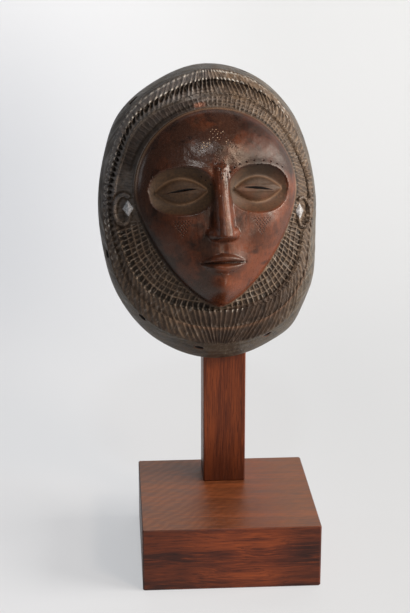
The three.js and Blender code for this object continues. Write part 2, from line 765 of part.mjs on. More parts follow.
function piece(name, geometry, colour, roughness) {
  const material = new THREE.MeshStandardMaterial({ color: colour, roughness, metalness: 0 });
  const mesh = new THREE.Mesh(geometry, material);
  mesh.name = name;
  return mesh;
}

const postBottom = BASE_HEIGHT + CONTACT_GAP;
const post = block(POST_SIDE, POST_TOP_Z - postBottom, POST_EASE);
post.translate(POST_X, POST_FRONT_Y + POST_SIDE / 2, postBottom);

const object = new THREE.Group();
object.name = 'chokwe_mask_on_stand';
object.add(piece('mask', maskGeometry().applyMatrix4(poseMatrix()), MASK_COLOUR, 0.4));
object.add(piece('post', post, WOOD_COLOUR, 0.5));
object.add(piece('base', block(BASE_SIDE, BASE_HEIGHT, BASE_EASE), WOOD_COLOUR, 0.5));

export default object;
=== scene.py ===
"""Chokwe face mask of carved wood on the square post and block of its stand."""

import math

import bpy
import numpy as np
from mathutils import Matrix, Vector


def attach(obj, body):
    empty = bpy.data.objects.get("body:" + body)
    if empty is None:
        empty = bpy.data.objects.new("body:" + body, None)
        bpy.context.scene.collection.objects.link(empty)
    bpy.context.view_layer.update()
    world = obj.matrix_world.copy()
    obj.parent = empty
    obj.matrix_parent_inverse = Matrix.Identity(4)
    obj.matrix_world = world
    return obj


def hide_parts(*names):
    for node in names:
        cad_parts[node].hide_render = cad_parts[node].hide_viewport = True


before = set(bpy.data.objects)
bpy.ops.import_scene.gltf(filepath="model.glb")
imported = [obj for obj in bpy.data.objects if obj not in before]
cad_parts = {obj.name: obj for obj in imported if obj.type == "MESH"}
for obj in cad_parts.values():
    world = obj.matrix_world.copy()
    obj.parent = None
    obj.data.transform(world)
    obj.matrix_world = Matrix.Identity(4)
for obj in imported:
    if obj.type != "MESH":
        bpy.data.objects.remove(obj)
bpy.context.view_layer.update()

TURN = 2 * math.pi
SEED = 20

# Named sizes of the mask, in millimetres, most of them as in the part's source
MASK_TURN = math.radians(6.5)
MASK_LEAN = math.radians(14)
MASK_MIDDLE = (-12.2, 47.3, 296.9)
PLAN_CENTRE = (0.0, 12.0)
RIM_RADII = [
    115.2, 113.2, 105.8, 97.2, 95.1, 100.5, 120.4, 135.4,
    139, 130.4, 115.6, 101.4, 96, 97.3, 105.6, 109.8,
]
RIM_CORNER_ANGLE, RIM_CORNER_RISE, RIM_CORNER_SPREAD = math.radians(149), 2.6, math.radians(7)
RIM_WIDTHS = [7.7, 7.8, 4.2, 7, 14, 4.6, 3, 5.3]
OUTER_BAND_WIDTHS = [9.5, 5.5, 3.5, 10, 14.5, 7.5, 3.5, 6]
INNER_BAND_WIDTHS = [12.5, 9.5, 5, 11, 15, 7, 4.5, 6]
OUTER_EDGE_HEIGHTS = [26, 20, 14, 22, 26, 20, 13, 20]
RIDGE_HEIGHTS = [34, 28.5, 23, 30, 34, 28.5, 22, 28.5]
INNER_EDGE_HEIGHTS = [42, 38, 34, 39, 42, 38, 34, 38]
RIM_ROUNDING = 1.5
RIM_LIFT = 3
RIB_COUNT = 124
RIB_DEPTH = 1.9
RIB_SLANT = 1.2
BAND_RISE = 1.6
BAND_STEP_RUN = 1.4
RIDGE_DROP = 2.4
RIDGE_STEP_SHARES = [1, 0.6, 0.3, 0.25, 0.3, 0.25, 0.4, 0.85]
NET_DROP = 3.6
NET_STEP_RUN = 1.6
NET_START_LIFT = 1.3
NET_PITCH = 5.2
NET_DEPTH = 2.0
NET_MARGIN = 0.9
NET_FACE_HEIGHT = 43.2
SMALL_NET_PITCH = 3.2
FACE_STEP_RUN, FACE_STEP_RISE = 0.4, 1.7

FACE_HALF_WIDTH = 68.5
FACE_MIDDLE_U = -1
HAIRLINE_V = 85.5
CHIN_V = -79.7
FACE_HEIGHT = HAIRLINE_V - CHIN_V
BROW_V = HAIRLINE_V - FACE_HEIGHT / 3
EYE_V = HAIRLINE_V - FACE_HEIGHT * 0.417
NOSE_BASE_V = HAIRLINE_V - FACE_HEIGHT * 2 / 3
MOUTH_V = NOSE_BASE_V - FACE_HEIGHT / 9
JAW_ROUNDNESS = 1.5
FACE_EDGE_W = 45.5
DOME_RISE = 27
# Swellings of the face: height, place to either side and up, spread across and up
FACE_SWELLINGS = {
    "forehead": (2.5, 0, HAIRLINE_V - 38, 38, 24),
    "cheekbones": (3.2, 37, NOSE_BASE_V + 10, 17, 20),
    "mouth": (6, 0, MOUTH_V - 2, 24, 17),
    "chin": (6, 0, CHIN_V + 14, 14, 9),
}

SOCKET_OFFSET, SOCKET_HALF_WIDTH, SOCKET_HALF_HEIGHT = 32, 26.5, 20
SOCKET_DEPTH, SOCKET_SQUARENESS, SOCKET_INNER_SHARE = 9.5, 2.3, 0.8
LID_HALF_WIDTH, LID_HALF_HEIGHT, LID_RISE = 21.5, 10.5, 7
SLIT_HALF_WIDTH, SLIT_HALF_HEIGHT, SLIT_LIFT = 13, 1, 0.4
SLIT_FRONT_W, SLIT_SLOPE = 67, math.tan(math.radians(28))
SLIT_BACK, SLIT_FRONT = 35, 95
NOSE_ROOT_V, NOSE_TIP_V = BROW_V - 2, NOSE_BASE_V + 4
NOSE_ROOT_RISE, NOSE_TIP_RISE, NOSE_ROOT_HALF, NOSE_TIP_HALF = 4.5, 17, 2.2, 4
WING_OFFSET, WING_V, WING_HALF_WIDTH, WING_HALF_HEIGHT, WING_RISE = 8.6, NOSE_BASE_V + 5.5, 5.4, 5.6, 8
LIP_HALF_WIDTH, LIP_GROOVE = 20, 1.8
UPPER_LIP_RISE, UPPER_LIP_REACH, LOWER_LIP_RISE, LOWER_LIP_REACH = 4.6, 7.6, 5.2, 9

RIM_THICKNESS = 8
WALL_INSET = 11
WALL_BACK = 7
FACE_WALL = 13
HOLLOW_STEPS = (4, 4, 4, 4, 6, 8)
RIM_HOLE_RADIUS = 1.7
HOLE_START, HOLE_LENGTH, HOLE_MOUTH = 18, 24, 18.6
RIM_HOLES = [
    (17.3, 111.2), (59.2, 97.2), (134.4, 117.5), (160.3, 126.5),
    (187.4, 128), (213.1, 117.5), (244.1, 100.4),
]
RIM_SLOT = (323.1, 104, 4.5, 1.2)
EAR_HALF_WIDTH, EAR_HALF_HEIGHT, EAR_RIM_RADIUS, EAR_LIFT = 7, 12.5, 2, 1.2
# The fine surface has a thinner, higher rolled rim
FINE_EAR_RADIUS, FINE_EAR_LIFT = 0.8 * EAR_RIM_RADIUS, EAR_LIFT + 0.3
EAR_FACET_INSET, EAR_FACET_RISE, EAR_FACET_HALF_WIDTH, EAR_FACET_HALF_HEIGHT = 3.4, 3.4, 4.4, 7
# Each ear: its side, its place, and how much painted shade darkens its hollow
EARS = [(-1, -77.7, 4, 0.75), (1, 75, -4, 0.4)]

# Fineness of the carved mesh
SAMPLES_PER_RIB = 8
SAMPLES = RIB_COUNT * SAMPLES_PER_RIB
NET_RING_STEP = NET_PITCH / 8
RIM_RINGS = 9
INWARD = 0.6  # the fine surface stays this far inside the faceted outline
# Strips between the key lines of the bands: rings, and how far the middle swells
BAND_STRIPS = [(3, 0.0), (9, 0.55), (3, 0.0), (9, 0.45), (4, 0.0)]
# Rows of beads on the bands' edges and first rows of the net: place from 0 to 5 across the strips,
# and width
OUTER_BEADS, RIDGE_BEADS, INNER_BEADS = (1.04, 0.16), (1.96, 0.14), (3.97, 0.11)
NET_ROWS = (3.556, 0.05), (3.778, 0.05)
# Rings of the face: share of the edge's size from and to, how many rings, and which of the
# edge's points they use: 1 for each, 2 for every second, and so on
FACE_RINGS = [(1, 0.52, 46, 1), (0.505, 0.26, 22, 2), (0.245, 0.13, 11, 4), (0.115, 0.02, 8, 8)]

# Stretches round the coiffure: start and end in degrees clockwise from the top, and the width of
# their soft ends
STRETCHES = {
    "crown": (-75, 70, 40), "thin_crown": (-85, 30, 40), "thin_low": (140, 225, 40),
    "rope": (-115, 60, 40), "comb": (182, 264, 16), "calm": (95, 268, 30), "calm_right": (45, 125, 30),
    "rubbed": (40, 130, 30), "bare": (62, 132, 22), "faded_left": (288, 346, 16), "faded_top": (352, 368, 8),
    "no_beads": (15, 110, 20), "right": (12, 108, 24), "above_ear": (40, 86, 20), "rows": (-20, 75, 20),
    "soft_step": (-18, 164, 24), "glints": (160, 190, 10), "strokes": (180, 192, 5),
    "bottom": (135, 245, 30), "notch": (-85, 10, 40), "worn": (124, 205, 18),
    # Stretches of painted shade: the left, the lower part and the right of the coiffure
    "dim_left": (196, 268, 30), "dim_low": (138, 196, 24), "dim_right": (70, 138, 24),
    "net_jaw": (104.4, 255.6, 8), "net_crown": (-10, 60, 14), "net_right": (60, 104.4, 6),
    "net_left": (255.6, 290, 8), "brow": (288, 352, 10), "dull_net": (-10, 106, 8),
    "gully_left": (290, 366, 20), "gully_right": (20, 104, 24), "chip": (349, 355, 4),
    # The first stretch on the next line is painted shade on the net's left
    "net_dim_left": (180, 262, 20), "net_dim_crown": (-6, 100, 12), "net_dim_right": (106, 174, 12),
    # The last stretch: painted shade along the face's lower-left edge
    "under_cheek": (184, 276, 20),
}


# Curves and noise
def ease(x):
    t = np.clip(x, 0, 1)
    return t * t * (3 - 2 * t)


def ramp(x, start, end):
    """0 at the start and 1 at the end, which may be the smaller one."""
    return ease((x - start) / (end - start))


def peak(x, middle, spread, power=2):
    """1 in the middle, almost 0 beyond twice the spread."""
    return np.exp(-((x - middle) / spread) ** power)


def hill(x, y, spread_x, spread_y):
    return peak(x, 0, spread_x) * peak(y, 0, spread_y)


def round_curve(values):
    """Smooth closed curve through values spaced evenly over one turn."""
    values = np.asarray(values, float)
    count = len(values)

    def at(angle):
        place = (np.asarray(angle) / TURN) % 1 * count
        k = np.floor(place).astype(int)
        t = place - k
        a, b, c, d = (values[(k + n) % count] for n in (-1, 0, 1, 2))
        return b + 0.5 * t * (c - a + t * (2 * a - 5 * b + 4 * c - d + t * (3 * (b - c) + d - a)))

    return at


def lattice_noise(x, y, layer, period_x=256):
    """Smooth random values from -1 to 1 on a unit grid, repeating in x after the period."""
    table = np.random.default_rng(SEED + layer).uniform(-1, 1, (257, 257))
    x, y = np.broadcast_arrays(np.asarray(x, float), np.asarray(y, float))
    i, j = np.floor(x).astype(int), np.floor(y).astype(int)
    s, t = ease(x - i), ease(y - j)

    def row(n):
        here, after = (table[np.mod(m, period_x) % 257, np.mod(n, 256)] for m in (i, i + 1))
        return here * (1 - s) + after * s

    return row(j) * (1 - t) + row(j + 1) * t


def ring_noise(angle, count, y, layer):
    """Noise with so many steps round the plan."""
    return lattice_noise(angle / TURN * count, y, layer, count)


def window(angle, start, end, soft):
    """1 between two angles in degrees, fading over soft degrees, and 0 elsewhere."""
    middle, half = (start + end) / 2, (end - start) / 2
    away = np.abs((np.degrees(angle) - middle + 180) % 360 - 180)
    return ramp(away, half + soft / 2, half - soft / 2)


class Around:
    """Shares of the named stretches at some angles."""

    def __init__(self, angle):
        self.angle = angle

    def __getattr__(self, name):
        return window(self.angle, *STRETCHES[name])


# Lines of the plan
def inside_of(radius_of, widths):
    width = round_curve(widths)
    return lambda angle: radius_of(angle) - width(angle)


rim_curve = round_curve(RIM_RADII)
outer_radius = inside_of(rim_curve, RIM_WIDTHS)
ridge_radius = inside_of(outer_radius, OUTER_BAND_WIDTHS)
inner_radius = inside_of(ridge_radius, INNER_BAND_WIDTHS)
outer_height, ridge_height, inner_height, ridge_step_share = map(
    round_curve, (OUTER_EDGE_HEIGHTS, RIDGE_HEIGHTS, INNER_EDGE_HEIGHTS, RIDGE_STEP_SHARES)
)


def rim_radius(angle):
    return rim_curve(angle) + RIM_CORNER_RISE * peak(angle, RIM_CORNER_ANGLE, RIM_CORNER_SPREAD)


def ring_angles(count):
    return np.arange(count) / count * TURN


def plan_point(angle, radius):
    return PLAN_CENTRE[0] + radius * np.sin(angle), PLAN_CENTRE[1] + radius * np.cos(angle)


def plan_line(angle, radius, height):
    u, v = plan_point(angle, radius)
    return np.stack(np.broadcast_arrays(u, v, height), -1)


def plan_polar(u, v):
    u, v = u - PLAN_CENTRE[0], v - PLAN_CENTRE[1]
    return np.arctan2(u, v), np.hypot(u, v)


def lean(angle, radius):
    """Ribs lean from the radial line towards the upright between the four axes of the plan."""
    inner = inner_radius(angle)
    return angle - RIB_SLANT * np.sin(2 * angle) * np.maximum(0, radius - inner) / inner


def band_line(angle, radius_of, height_of):
    turned = lean(angle, radius_of(angle))
    return plan_line(turned, radius_of(turned), height_of(turned))


# Face
def face_share(u, v):
    """0 on the eye line's middle, 1 on the face's edge."""
    x = np.abs(u - FACE_MIDDLE_U) / FACE_HALF_WIDTH
    above = np.hypot(x, (v - EYE_V) / (HAIRLINE_V - EYE_V))
    y = np.maximum(0, (EYE_V - v) / (EYE_V - CHIN_V))
    below = (x ** JAW_ROUNDNESS + y ** JAW_ROUNDNESS) ** (1 / JAW_ROUNDNESS)
    return np.where(v > EYE_V, above, below)


def find_face_radius(angle):
    """Radius of the face's edge seen from the plan centre, found by halving."""
    near = np.full(np.shape(angle), 20.0)
    far = np.full(np.shape(angle), 130.0)
    for _ in range(30):
        middle = (near + far) / 2
        inside = face_share(*plan_point(angle, middle)) < 1
        near = np.where(inside, middle, near)
        far = np.where(inside, far, middle)
    return near


def face_ring(edge, share):
    """The face's edge, drawn towards the middle of the eye line."""
    middle = (FACE_MIDDLE_U, EYE_V)
    return [m + share * (line - m) for m, line in zip(middle, edge)]


def face_dome(share):
    return FACE_EDGE_W + DOME_RISE * (1 - np.clip(share, 0, 1) ** 2.4) ** 0.62


def socket_share(u, v):
    x = np.abs(np.abs(u - FACE_MIDDLE_U) - SOCKET_OFFSET) / SOCKET_HALF_WIDTH
    y = np.abs(v - EYE_V) / SOCKET_HALF_HEIGHT
    return (x ** SOCKET_SQUARENESS + y ** SOCKET_SQUARENESS) ** (1 / SOCKET_SQUARENESS)


def lid_across(u):
    return (np.abs(u - FACE_MIDDLE_U) - SOCKET_OFFSET) / LID_HALF_WIDTH


def lid_share(u, v):
    """0 on the lid's long axis, 1 on its almond outline."""
    x = lid_across(u)
    open_share = np.maximum(1 - x * x, 0.02)
    return np.where(np.abs(x) < 0.98, np.abs(v - EYE_V) / (LID_HALF_HEIGHT * open_share), 9.0)


def lid_line(u, v):
    x = lid_across(u)
    return (np.abs(v - EYE_V) - LID_HALF_HEIGHT * (1 - x * x)) * 0.9


def lip_line(u, v, reach):
    """Outlines of the lips: reach 0 is their parting, others bow from corner to corner."""
    x = np.abs(u - FACE_MIDDLE_U) / LIP_HALF_WIDTH
    return np.where(x < 1, v - MOUTH_V - reach * (1 - x * x), 20.0)


def nose_share(v):
    """0 at the nose's root, 1 at its tip."""
    return (NOSE_ROOT_V - v) / (NOSE_ROOT_V - NOSE_TIP_V)


def nose_half(v):
    """Half the width of the nose's back, and below zero beyond its ends."""
    t = nose_share(v)
    half = NOSE_ROOT_HALF + (NOSE_TIP_HALF - NOSE_ROOT_HALF) * np.clip(t, 0, 1)
    return np.where((t < -0.1) | (t > 1.1), -20.0, half)


def nose_rise(x, v):
    t = np.clip(nose_share(v), 0, 1)
    rise = NOSE_ROOT_RISE + (NOSE_TIP_RISE - NOSE_ROOT_RISE) * t ** 1.2
    half = NOSE_ROOT_HALF + (NOSE_TIP_HALF - NOSE_ROOT_HALF) * t
    across = 1 - ease((np.abs(x) - half) / (5 + 3 * t))
    above = ramp(v, NOSE_ROOT_V + 12, NOSE_ROOT_V)
    below = ramp(v, NOSE_TIP_V - 5.6, NOSE_TIP_V - 1.2)
    return rise * across * above * below


def wing_rise(x, v):
    x = (np.abs(x) - WING_OFFSET) / WING_HALF_WIDTH
    y = (v - WING_V) / WING_HALF_HEIGHT
    return WING_RISE * np.sqrt(np.maximum(0, 1 - x * x - y * y))


def lip_rise(x, v):
    share = np.maximum(0, 1 - (x / LIP_HALF_WIDTH) ** 2)
    above = v > MOUTH_V
    reach = np.where(above, UPPER_LIP_REACH, LOWER_LIP_REACH)
    place = np.abs(v - MOUTH_V) / (reach * np.maximum(share, 0.02))
    rise = np.where(above, UPPER_LIP_RISE, LOWER_LIP_RISE)
    swell = rise * np.maximum(0, 1 - (2 * np.clip(place, 0, 1) - 1) ** 2) ** 0.7
    found = np.sqrt(share) * (swell - LIP_GROOVE * peak(place, 0, 0.2))
    return np.where((share < 0.02) | (place > 1), 0.0, found)


def face_height(u, v):
    x = u - FACE_MIDDLE_U
    w = face_dome(face_share(u, v))
    for height, offset, up, spread_across, spread_up in FACE_SWELLINGS.values():
        w = w + height * hill(np.abs(x) - offset, v - up, spread_across, spread_up)
    socket = socket_share(u, v)
    inside = SOCKET_DEPTH * (1 - np.clip(socket, 0, 1) ** 2.6)
    brow = 1.2 * peak(socket, 1, 4 / SOCKET_HALF_HEIGHT) * ramp(v, EYE_V - 6, EYE_V + 6)
    w += np.where(socket < 1, -inside, brow)
    lid = lid_share(u, v)
    taper = np.maximum(0, 1 - lid_across(u) ** 2)
    w += np.where(lid < 1, LID_RISE * np.maximum(0, 1 - lid ** 2) ** 0.6 * np.sqrt(taper), 0)
    w += np.maximum(nose_rise(x, v), wing_rise(x, v) + 0.3 * nose_rise(x, v))
    w += lip_rise(x, v)
    groove = ramp(v, MOUTH_V + 6, MOUTH_V + 9) * ramp(v, NOSE_BASE_V - 1, NOSE_BASE_V - 4)
    w -= 0.8 * peak(x, 0, 3) * groove
    return w


# Mesh of the mask, gathered as rings of points
class Carving:
    """Points with the values the material reads, and the faces between them."""

    VALUES = ("hair", "groove", "crest", "rim", "socket", "inside", "worn", "line", "dim")

    def __init__(self):
        self.points = []
        self.values = {name: [] for name in self.VALUES}
        self.faces = []
        self.count = 0

    def add(self, u, v, w, **values):
        u, v, w = np.broadcast_arrays(*(np.asarray(c, float) for c in (u, v, w)))
        first = self.count
        self.points.append(np.stack([u, v, w], 1))
        for name in self.VALUES:
            self.values[name].append(np.broadcast_to(np.asarray(values.get(name, 0), float), u.shape))
        self.count += u.size
        return first + np.arange(u.size)

    def triangles(self, a, b, c):
        found = np.stack([a, b, c], 1)
        keep = (found != np.roll(found, -1, 1)).all(1)
        self.faces.append(found[keep])

    def sew(self, outer, inner, back=False):
        """Two rings of the same number of points, or one with a multiple of the other's."""
        if len(outer) == len(inner):
            a, b, c, d = outer, np.roll(outer, -1), np.roll(inner, -1), inner
            flip = (np.arange(len(outer)) % 2 == 1)[:, None]
            first = np.where(flip, np.stack([a, d, b], 1), np.stack([a, c, b], 1))
            second = np.where(flip, np.stack([b, d, c], 1), np.stack([a, d, c], 1))
            found = np.concatenate([first, second])
        else:
            dense, sparse = (outer, inner) if len(outer) > len(inner) else (inner, outer)
            ratio = len(dense) // len(sparse)
            following = np.roll(sparse, -1)
            found = []
            for n in range(ratio):
                near = sparse if n < ratio / 2 else following
                found.append(np.stack([dense[n::ratio], near, np.roll(dense, -1)[n::ratio]], 1))
            middle = math.ceil(ratio / 2)
            found.append(np.stack([dense[middle::ratio], sparse, following], 1))
            found = np.concatenate(found)
            if dense is inner:
                found = found[:, ::-1]
        if back:
            found = found[:, ::-1]
        self.triangles(*found.T)


def net_floor(angle, radius):
    outer = inner_radius(angle) - NET_STEP_RUN
    inner = find_face_radius(angle) + NET_MARGIN
    t = np.clip((outer - radius) / np.maximum(1, outer - inner), 0, 1)
    return (1 - t) * (inner_height(angle) - NET_DROP) + t * NET_FACE_HEIGHT


def surface_normals(grid):
    """Normals of a closed strip of rings, pointing out of the wood."""
    along = np.roll(grid, -1, 1) - np.roll(grid, 1, 1)
    found = np.cross(np.gradient(grid, axis=0), along)
    return found / (np.linalg.norm(found, axis=2, keepdims=True) + 1e-9)


def thin_line(distance, half):
    """1 on a raised line's crest, 0 beyond its foot."""
    return ramp(distance, 1.6 * half, 0.35 * half)


def add_rim(carving):
    """Rear edge and smooth rim outside the ribs; returns the rear ring and the last ring."""
    angle = ring_angles(SAMPLES // 2)
    turned = lean(angle, outer_radius(angle))
    edge = rim_radius(turned) - INWARD
    rings = []
    for bend in np.radians((0, 30, 60, 90)):
        u, v = plan_point(turned, edge - RIM_ROUNDING * (1 - math.sin(bend)))
        rings.append(carving.add(u, v, RIM_LIFT * (1 - math.cos(bend)), rim=1))
    side = plan_line(turned, edge, RIM_LIFT)
    foot = band_line(angle, outer_radius, outer_height)
    t = (np.arange(RIM_RINGS + 1) / RIM_RINGS)[:, None]
    grid = side + t[..., None] * (foot - side)
    middle = 4 * t * (1 - t)
    waves = 0.45 * ring_noise(angle, 40, t * 2 + 5, 0) + 0.16 * ring_noise(angle, 150, t * 6 + 9, 1)
    relief = 0.9 * middle + waves * np.minimum(1, middle) - 0.1
    grid = grid + surface_normals(grid) * relief[..., None]
    for row in grid[1:-1]:
        rings.append(carving.add(*row.T, rim=1))
    for outer, inner in zip(rings, rings[1:]):
        carving.sew(outer, inner)
    return rings[0], rings[-1]


def rib_pattern(angle, line):
    """Depth of the grooves, extra height, crest line and distance from each rib's middle."""
    phase = angle / TURN * RIB_COUNT
    wobble = 0.20 * ring_noise(angle, RIB_COUNT, line * 1.3 + 3, 10)
    wobble = wobble + 0.12 * ring_noise(angle, RIB_COUNT // 4, line * 0.9 + 50, 12)
    rib = np.round(phase + wobble)
    away = np.abs(phase + wobble - rib)
    width = 0.08 * lattice_noise(rib, line * 0.8 + 20, 11, RIB_COUNT)
    taller = 0.35 * lattice_noise(rib, line * 0.7 + 60, 13, RIB_COUNT)
    dash = ramp(lattice_noise(rib + 0.5, line * 5 + 90, 14, RIB_COUNT), -0.75, 0.15)
    crest = ramp(away, 0.16, 0.01) * dash
    return ramp(away - width, 0.08, 0.38), taller, crest, away


def band_rings(angle):
    """Rings over the two bands and their steps, the line that each follows, and its swelling."""
    def ridge_foot(turned):
        return ridge_height(turned) - RIDGE_DROP * ridge_step_share(turned)

    # Key lines: radius and height, how far inside that radius and how much higher
    outline = [
        (outer_radius, outer_height, 0, 0),
        (outer_radius, outer_height, BAND_STEP_RUN, BAND_RISE + 0.9),
        (ridge_radius, ridge_height, 0, BAND_RISE),
        (ridge_radius, ridge_foot, BAND_STEP_RUN, BAND_RISE),
        (inner_radius, inner_height, 0, 0),
        (inner_radius, inner_height, NET_STEP_RUN, -NET_DROP),
    ]
    keys = [
        band_line(angle, lambda a, r=radius, i=inside: r(a) - i, lambda a, h=height, up=higher: h(a) + up)
        for radius, height, inside, higher in outline
    ]
    grid, line, swell = [], [], []
    for n, (steps, swelling) in enumerate(BAND_STRIPS):
        for t in np.arange(steps) / steps:
            grid.append(keys[n] * (1 - t) + keys[n + 1] * t)
            line.append(n + t)
            swell.append(swelling * 4 * t * (1 - t))
    grid.append(keys[-1])
    return np.array(grid), np.array([*line, len(BAND_STRIPS)])[:, None], np.array([*swell, 0])[:, None]


def add_bands(carving, last):
    """Two bands of ribs with a stepped ridge between them; returns the last ring.

    The line is 0 at the outer edge, 1 at the start of the outer band, 2 on the ridge, 3 below it,
    4 at the inner edge and 5 where the net begins.
    """
    angle = ring_angles(SAMPLES)
    grid, line, swell = band_rings(angle)
    turn = angle[None]
    at = Around(turn)
    crown, rope, above_ear, soft_step = at.crown, at.rope, at.above_ear, at.soft_step
    outer_band = ramp(line, 2.0, 1.7)
    start = ramp(line, 0, 0.7)

    # Grooves, thinner on the crown and below
    groove, taller, top, away = rib_pattern(turn, line)
    thin = np.maximum(at.thin_crown * peak(line, 3.15, 0.4), 0.6 * at.thin_low)
    thin = np.maximum(thin, 0.5 * crown * outer_band)
    groove = groove * (1 - thin) + thin * ramp(away, 0.06, 0.24)
    bead = ramp(away, 0.48, 0.36)
    tooth = ramp(away, 0.28, 0.1)
    comb = at.comb * ramp(line, 3.85, 4.15)
    bare = at.bare * outer_band
    faded = np.maximum(at.faded_left * ramp(line, 3.6, 4.05), 0.75 * at.faded_top * ramp(line, 4.0, 4.3))
    between_rows = peak(line, 1.5, 0.25, 4) + 0.5 * peak(line, 3.65, 0.3, 4)

    # Depth of the grooves, and where they are shallower
    depth = RIB_DEPTH * (0.88 + 0.22 * ring_noise(turn, 60, line, 12))
    for less in (
        0.4 * np.maximum(at.calm, at.calm_right) * (1 - comb),
        (0.62 * outer_band + 0.2 * between_rows) * crown,
        0.45 * crown * ramp(line, 3.3, 3.6) * (1 - comb),
        0.6 * at.rubbed * peak(line, 2.7, 0.7),
        0.85 * bare,
        0.85 * faded,
    ):
        depth = depth * (1 - less)
    depth = depth * start * ease((5 + 0.4 * comb - line) / 0.6)

    # Broken crests: short stretches where a rib is worn down
    chips = ramp(ring_noise(turn, RIB_COUNT, line * 2.3 + 40, 14), 0.55, 0.85)
    uneven = (taller - 0.7 * chips) * start * ramp(line, 5, 4.4) * (1 - faded)
    relief = swell - depth * groove + uneven * (1 - groove)
    near_inner = 0.5 * peak(line, *INNER_BEADS) * (1 - at.no_beads)
    near_edge = np.maximum(np.maximum(1.1 * peak(line, *OUTER_BEADS), peak(line, *RIDGE_BEADS)), near_inner)
    relief = relief + 0.4 * near_edge * bead * rope
    # The step below the ridge is shallower on the right, and the step down to the net softer
    relief = relief + (1.2 * at.right + above_ear) * peak(line, 3.0, 0.36)
    softer = (1.6 * soft_step + 0.7 * above_ear) * ramp(line, 5, 4)
    relief = relief - softer * ramp(line, 3.2, 4.0) + NET_START_LIFT * soft_step * ramp(line, 4.3, 5.0)
    # Over the crown the net's rows begin in the lower half of the inner band
    rows = at.rows * sum(peak(line, *row) for row in NET_ROWS)
    rows = rows * (0.8 + 0.5 * ring_noise(turn, 80, line, 16))
    relief = relief - 0.5 * rows
    grid = grid + surface_normals(grid) * relief[..., None]

    # Pale crests: dust on the ribs, with painted highlights on the bead rows and painted glints and strokes
    quiet = 1 - 0.7 * rope * np.maximum(0.85 * ramp(line, 3.2, 3.5), outer_band)
    # Pale dashes on the bead rows: painted highlights
    dashes = bead * near_edge * (0.3 + 0.7 * rope)
    crest = np.maximum(top * (0.26 - 0.16 * rope) * quiet, dashes) * (1 - 0.6 * chips) * (1 - 0.7 * faded)
    # Painted glints at the inner edge below, and pale strokes of painted highlight on the outer band
    glints = at.glints * peak(line, 3.97, 0.12) * (top > 0.3)
    strokes = 0.8 * at.strokes * peak(line, 1.4, 0.25) * (away < 0.16) * (taller > 0.02)
    crest = np.maximum(crest * (1 - 0.55 * at.bottom), np.maximum(glints, strokes))
    crest = crest * (0.8 + 0.6 * ring_noise(turn, 50, line * 0.6 + 15, 15))
    crest = np.clip(np.maximum(crest, 0.36 * comb * tooth), 0, 1) * (1 - bare)

    # Grooves dark with dirt and painted shade, and a painted shadow just inside the ridge
    notch = peak(line, 3.05, 0.3) * (0.1 + 0.9 * at.notch)
    shade = (0.74 + 0.26 * notch) * (1 - 0.3 * at.calm) * (1 - 0.25 * at.bottom) * quiet
    low = groove * shade * (1 - 0.6 * faded) + 0.4 * notch * (1 - at.right)
    low = low * (1 - 0.8 * soft_step * ramp(line, 3.95, 4.15))
    low = np.maximum(np.maximum(low * start, comb * (1 - tooth)), 0.6 * rows)
    # Painted shade on the left, below and on the right, and a darker tone between the bead rows
    dim = 0.55 * at.dim_left + 0.95 * at.dim_low + 0.45 * at.dim_right
    far_rows = 0.12 * rope * np.maximum(between_rows, ramp(line, 3.2, 3.4)) + 0.15 * crown * outer_band
    dim = np.clip(dim + far_rows * (1 - near_edge), 0, 1) * (1 - comb) * (1 - 0.9 * ramp(crest, 0.35, 0.6))
    values = {
        "groove": np.clip(low, 0, 1), "crest": crest, "line": faded, "dim": dim,
        "worn": at.worn * peak(line, 1.97, 0.13), "rim": np.maximum(peak(line, 0, 0.25), 0.9 * bare),
    }
    for k, row in enumerate(grid):
        ring = carving.add(*row.T, hair=1, **{name: value[k] for name, value in values.items()})
        carving.sew(last, ring)
        last = ring
    return last


def net_relief(angle, radius, inside):
    """Depth of the net's cells and the share of its raised lines, by distance inside the band."""
    def off_line(place):
        return np.abs(place - np.round(place))

    at = Around(angle)
    phase = angle / TURN * RIB_COUNT
    pitch = radius * TURN / RIB_COUNT
    bend = 0.12 * lattice_noise(phase, inside / 3 + 7, 20, RIB_COUNT)
    column = off_line(phase + bend) * pitch
    bend = bend + 0.14 * lattice_noise(phase / 4, inside / 9 + 30, 22, RIB_COUNT // 4)
    sway = 0.75 * lattice_noise(phase / 3, inside / 8 + 3, 21, RIB_COUNT // 3)
    row = off_line((inside + sway) / NET_PITCH) * NET_PITCH
    first_row = ease((inside - 2.5 - 1.5 * at.comb) / 1.5)
    mesh = np.maximum(thin_line(column, 0.55), thin_line(row, 0.58) * first_row)
    small_row = off_line((inside + 0.5 * sway) / SMALL_NET_PITCH) * SMALL_NET_PITCH
    small = np.maximum(thin_line(column, 0.6), thin_line(small_row, 0.55))
    strokes = thin_line(off_line(phase + inside * 0.16 + bend) * pitch, 0.7)
    wisps = thin_line(off_line(phase * 0.5 - inside * 0.10 + 2 * bend) * pitch * 2, 0.8)
    tails = thin_line(column, 0.5) * ramp(inside, 11, 6)
    # Where each kind of net lies, how deep it is cut, how clear it is, and its raised lines
    kinds = [
        (at.net_jaw, 0.75 * NET_DEPTH, 1, mesh),
        (at.net_crown, 0.7, 1, small),
        (at.net_right, 0.6, 1, strokes),
        (at.net_left, 0.25, 0.3, wisps),
        (at.brow * ramp(inside, 12, 7), 0.5, 0.4, tails),
    ]
    depth = sum(share * deep for share, deep, clear, lines in kinds)
    total = sum(share * clear for share, deep, clear, lines in kinds) + 1e-6
    lines = sum(share * clear * lines for share, deep, clear, lines in kinds) / total
    return depth, np.clip(lines, 0, 1), np.clip(total, 0, 1)


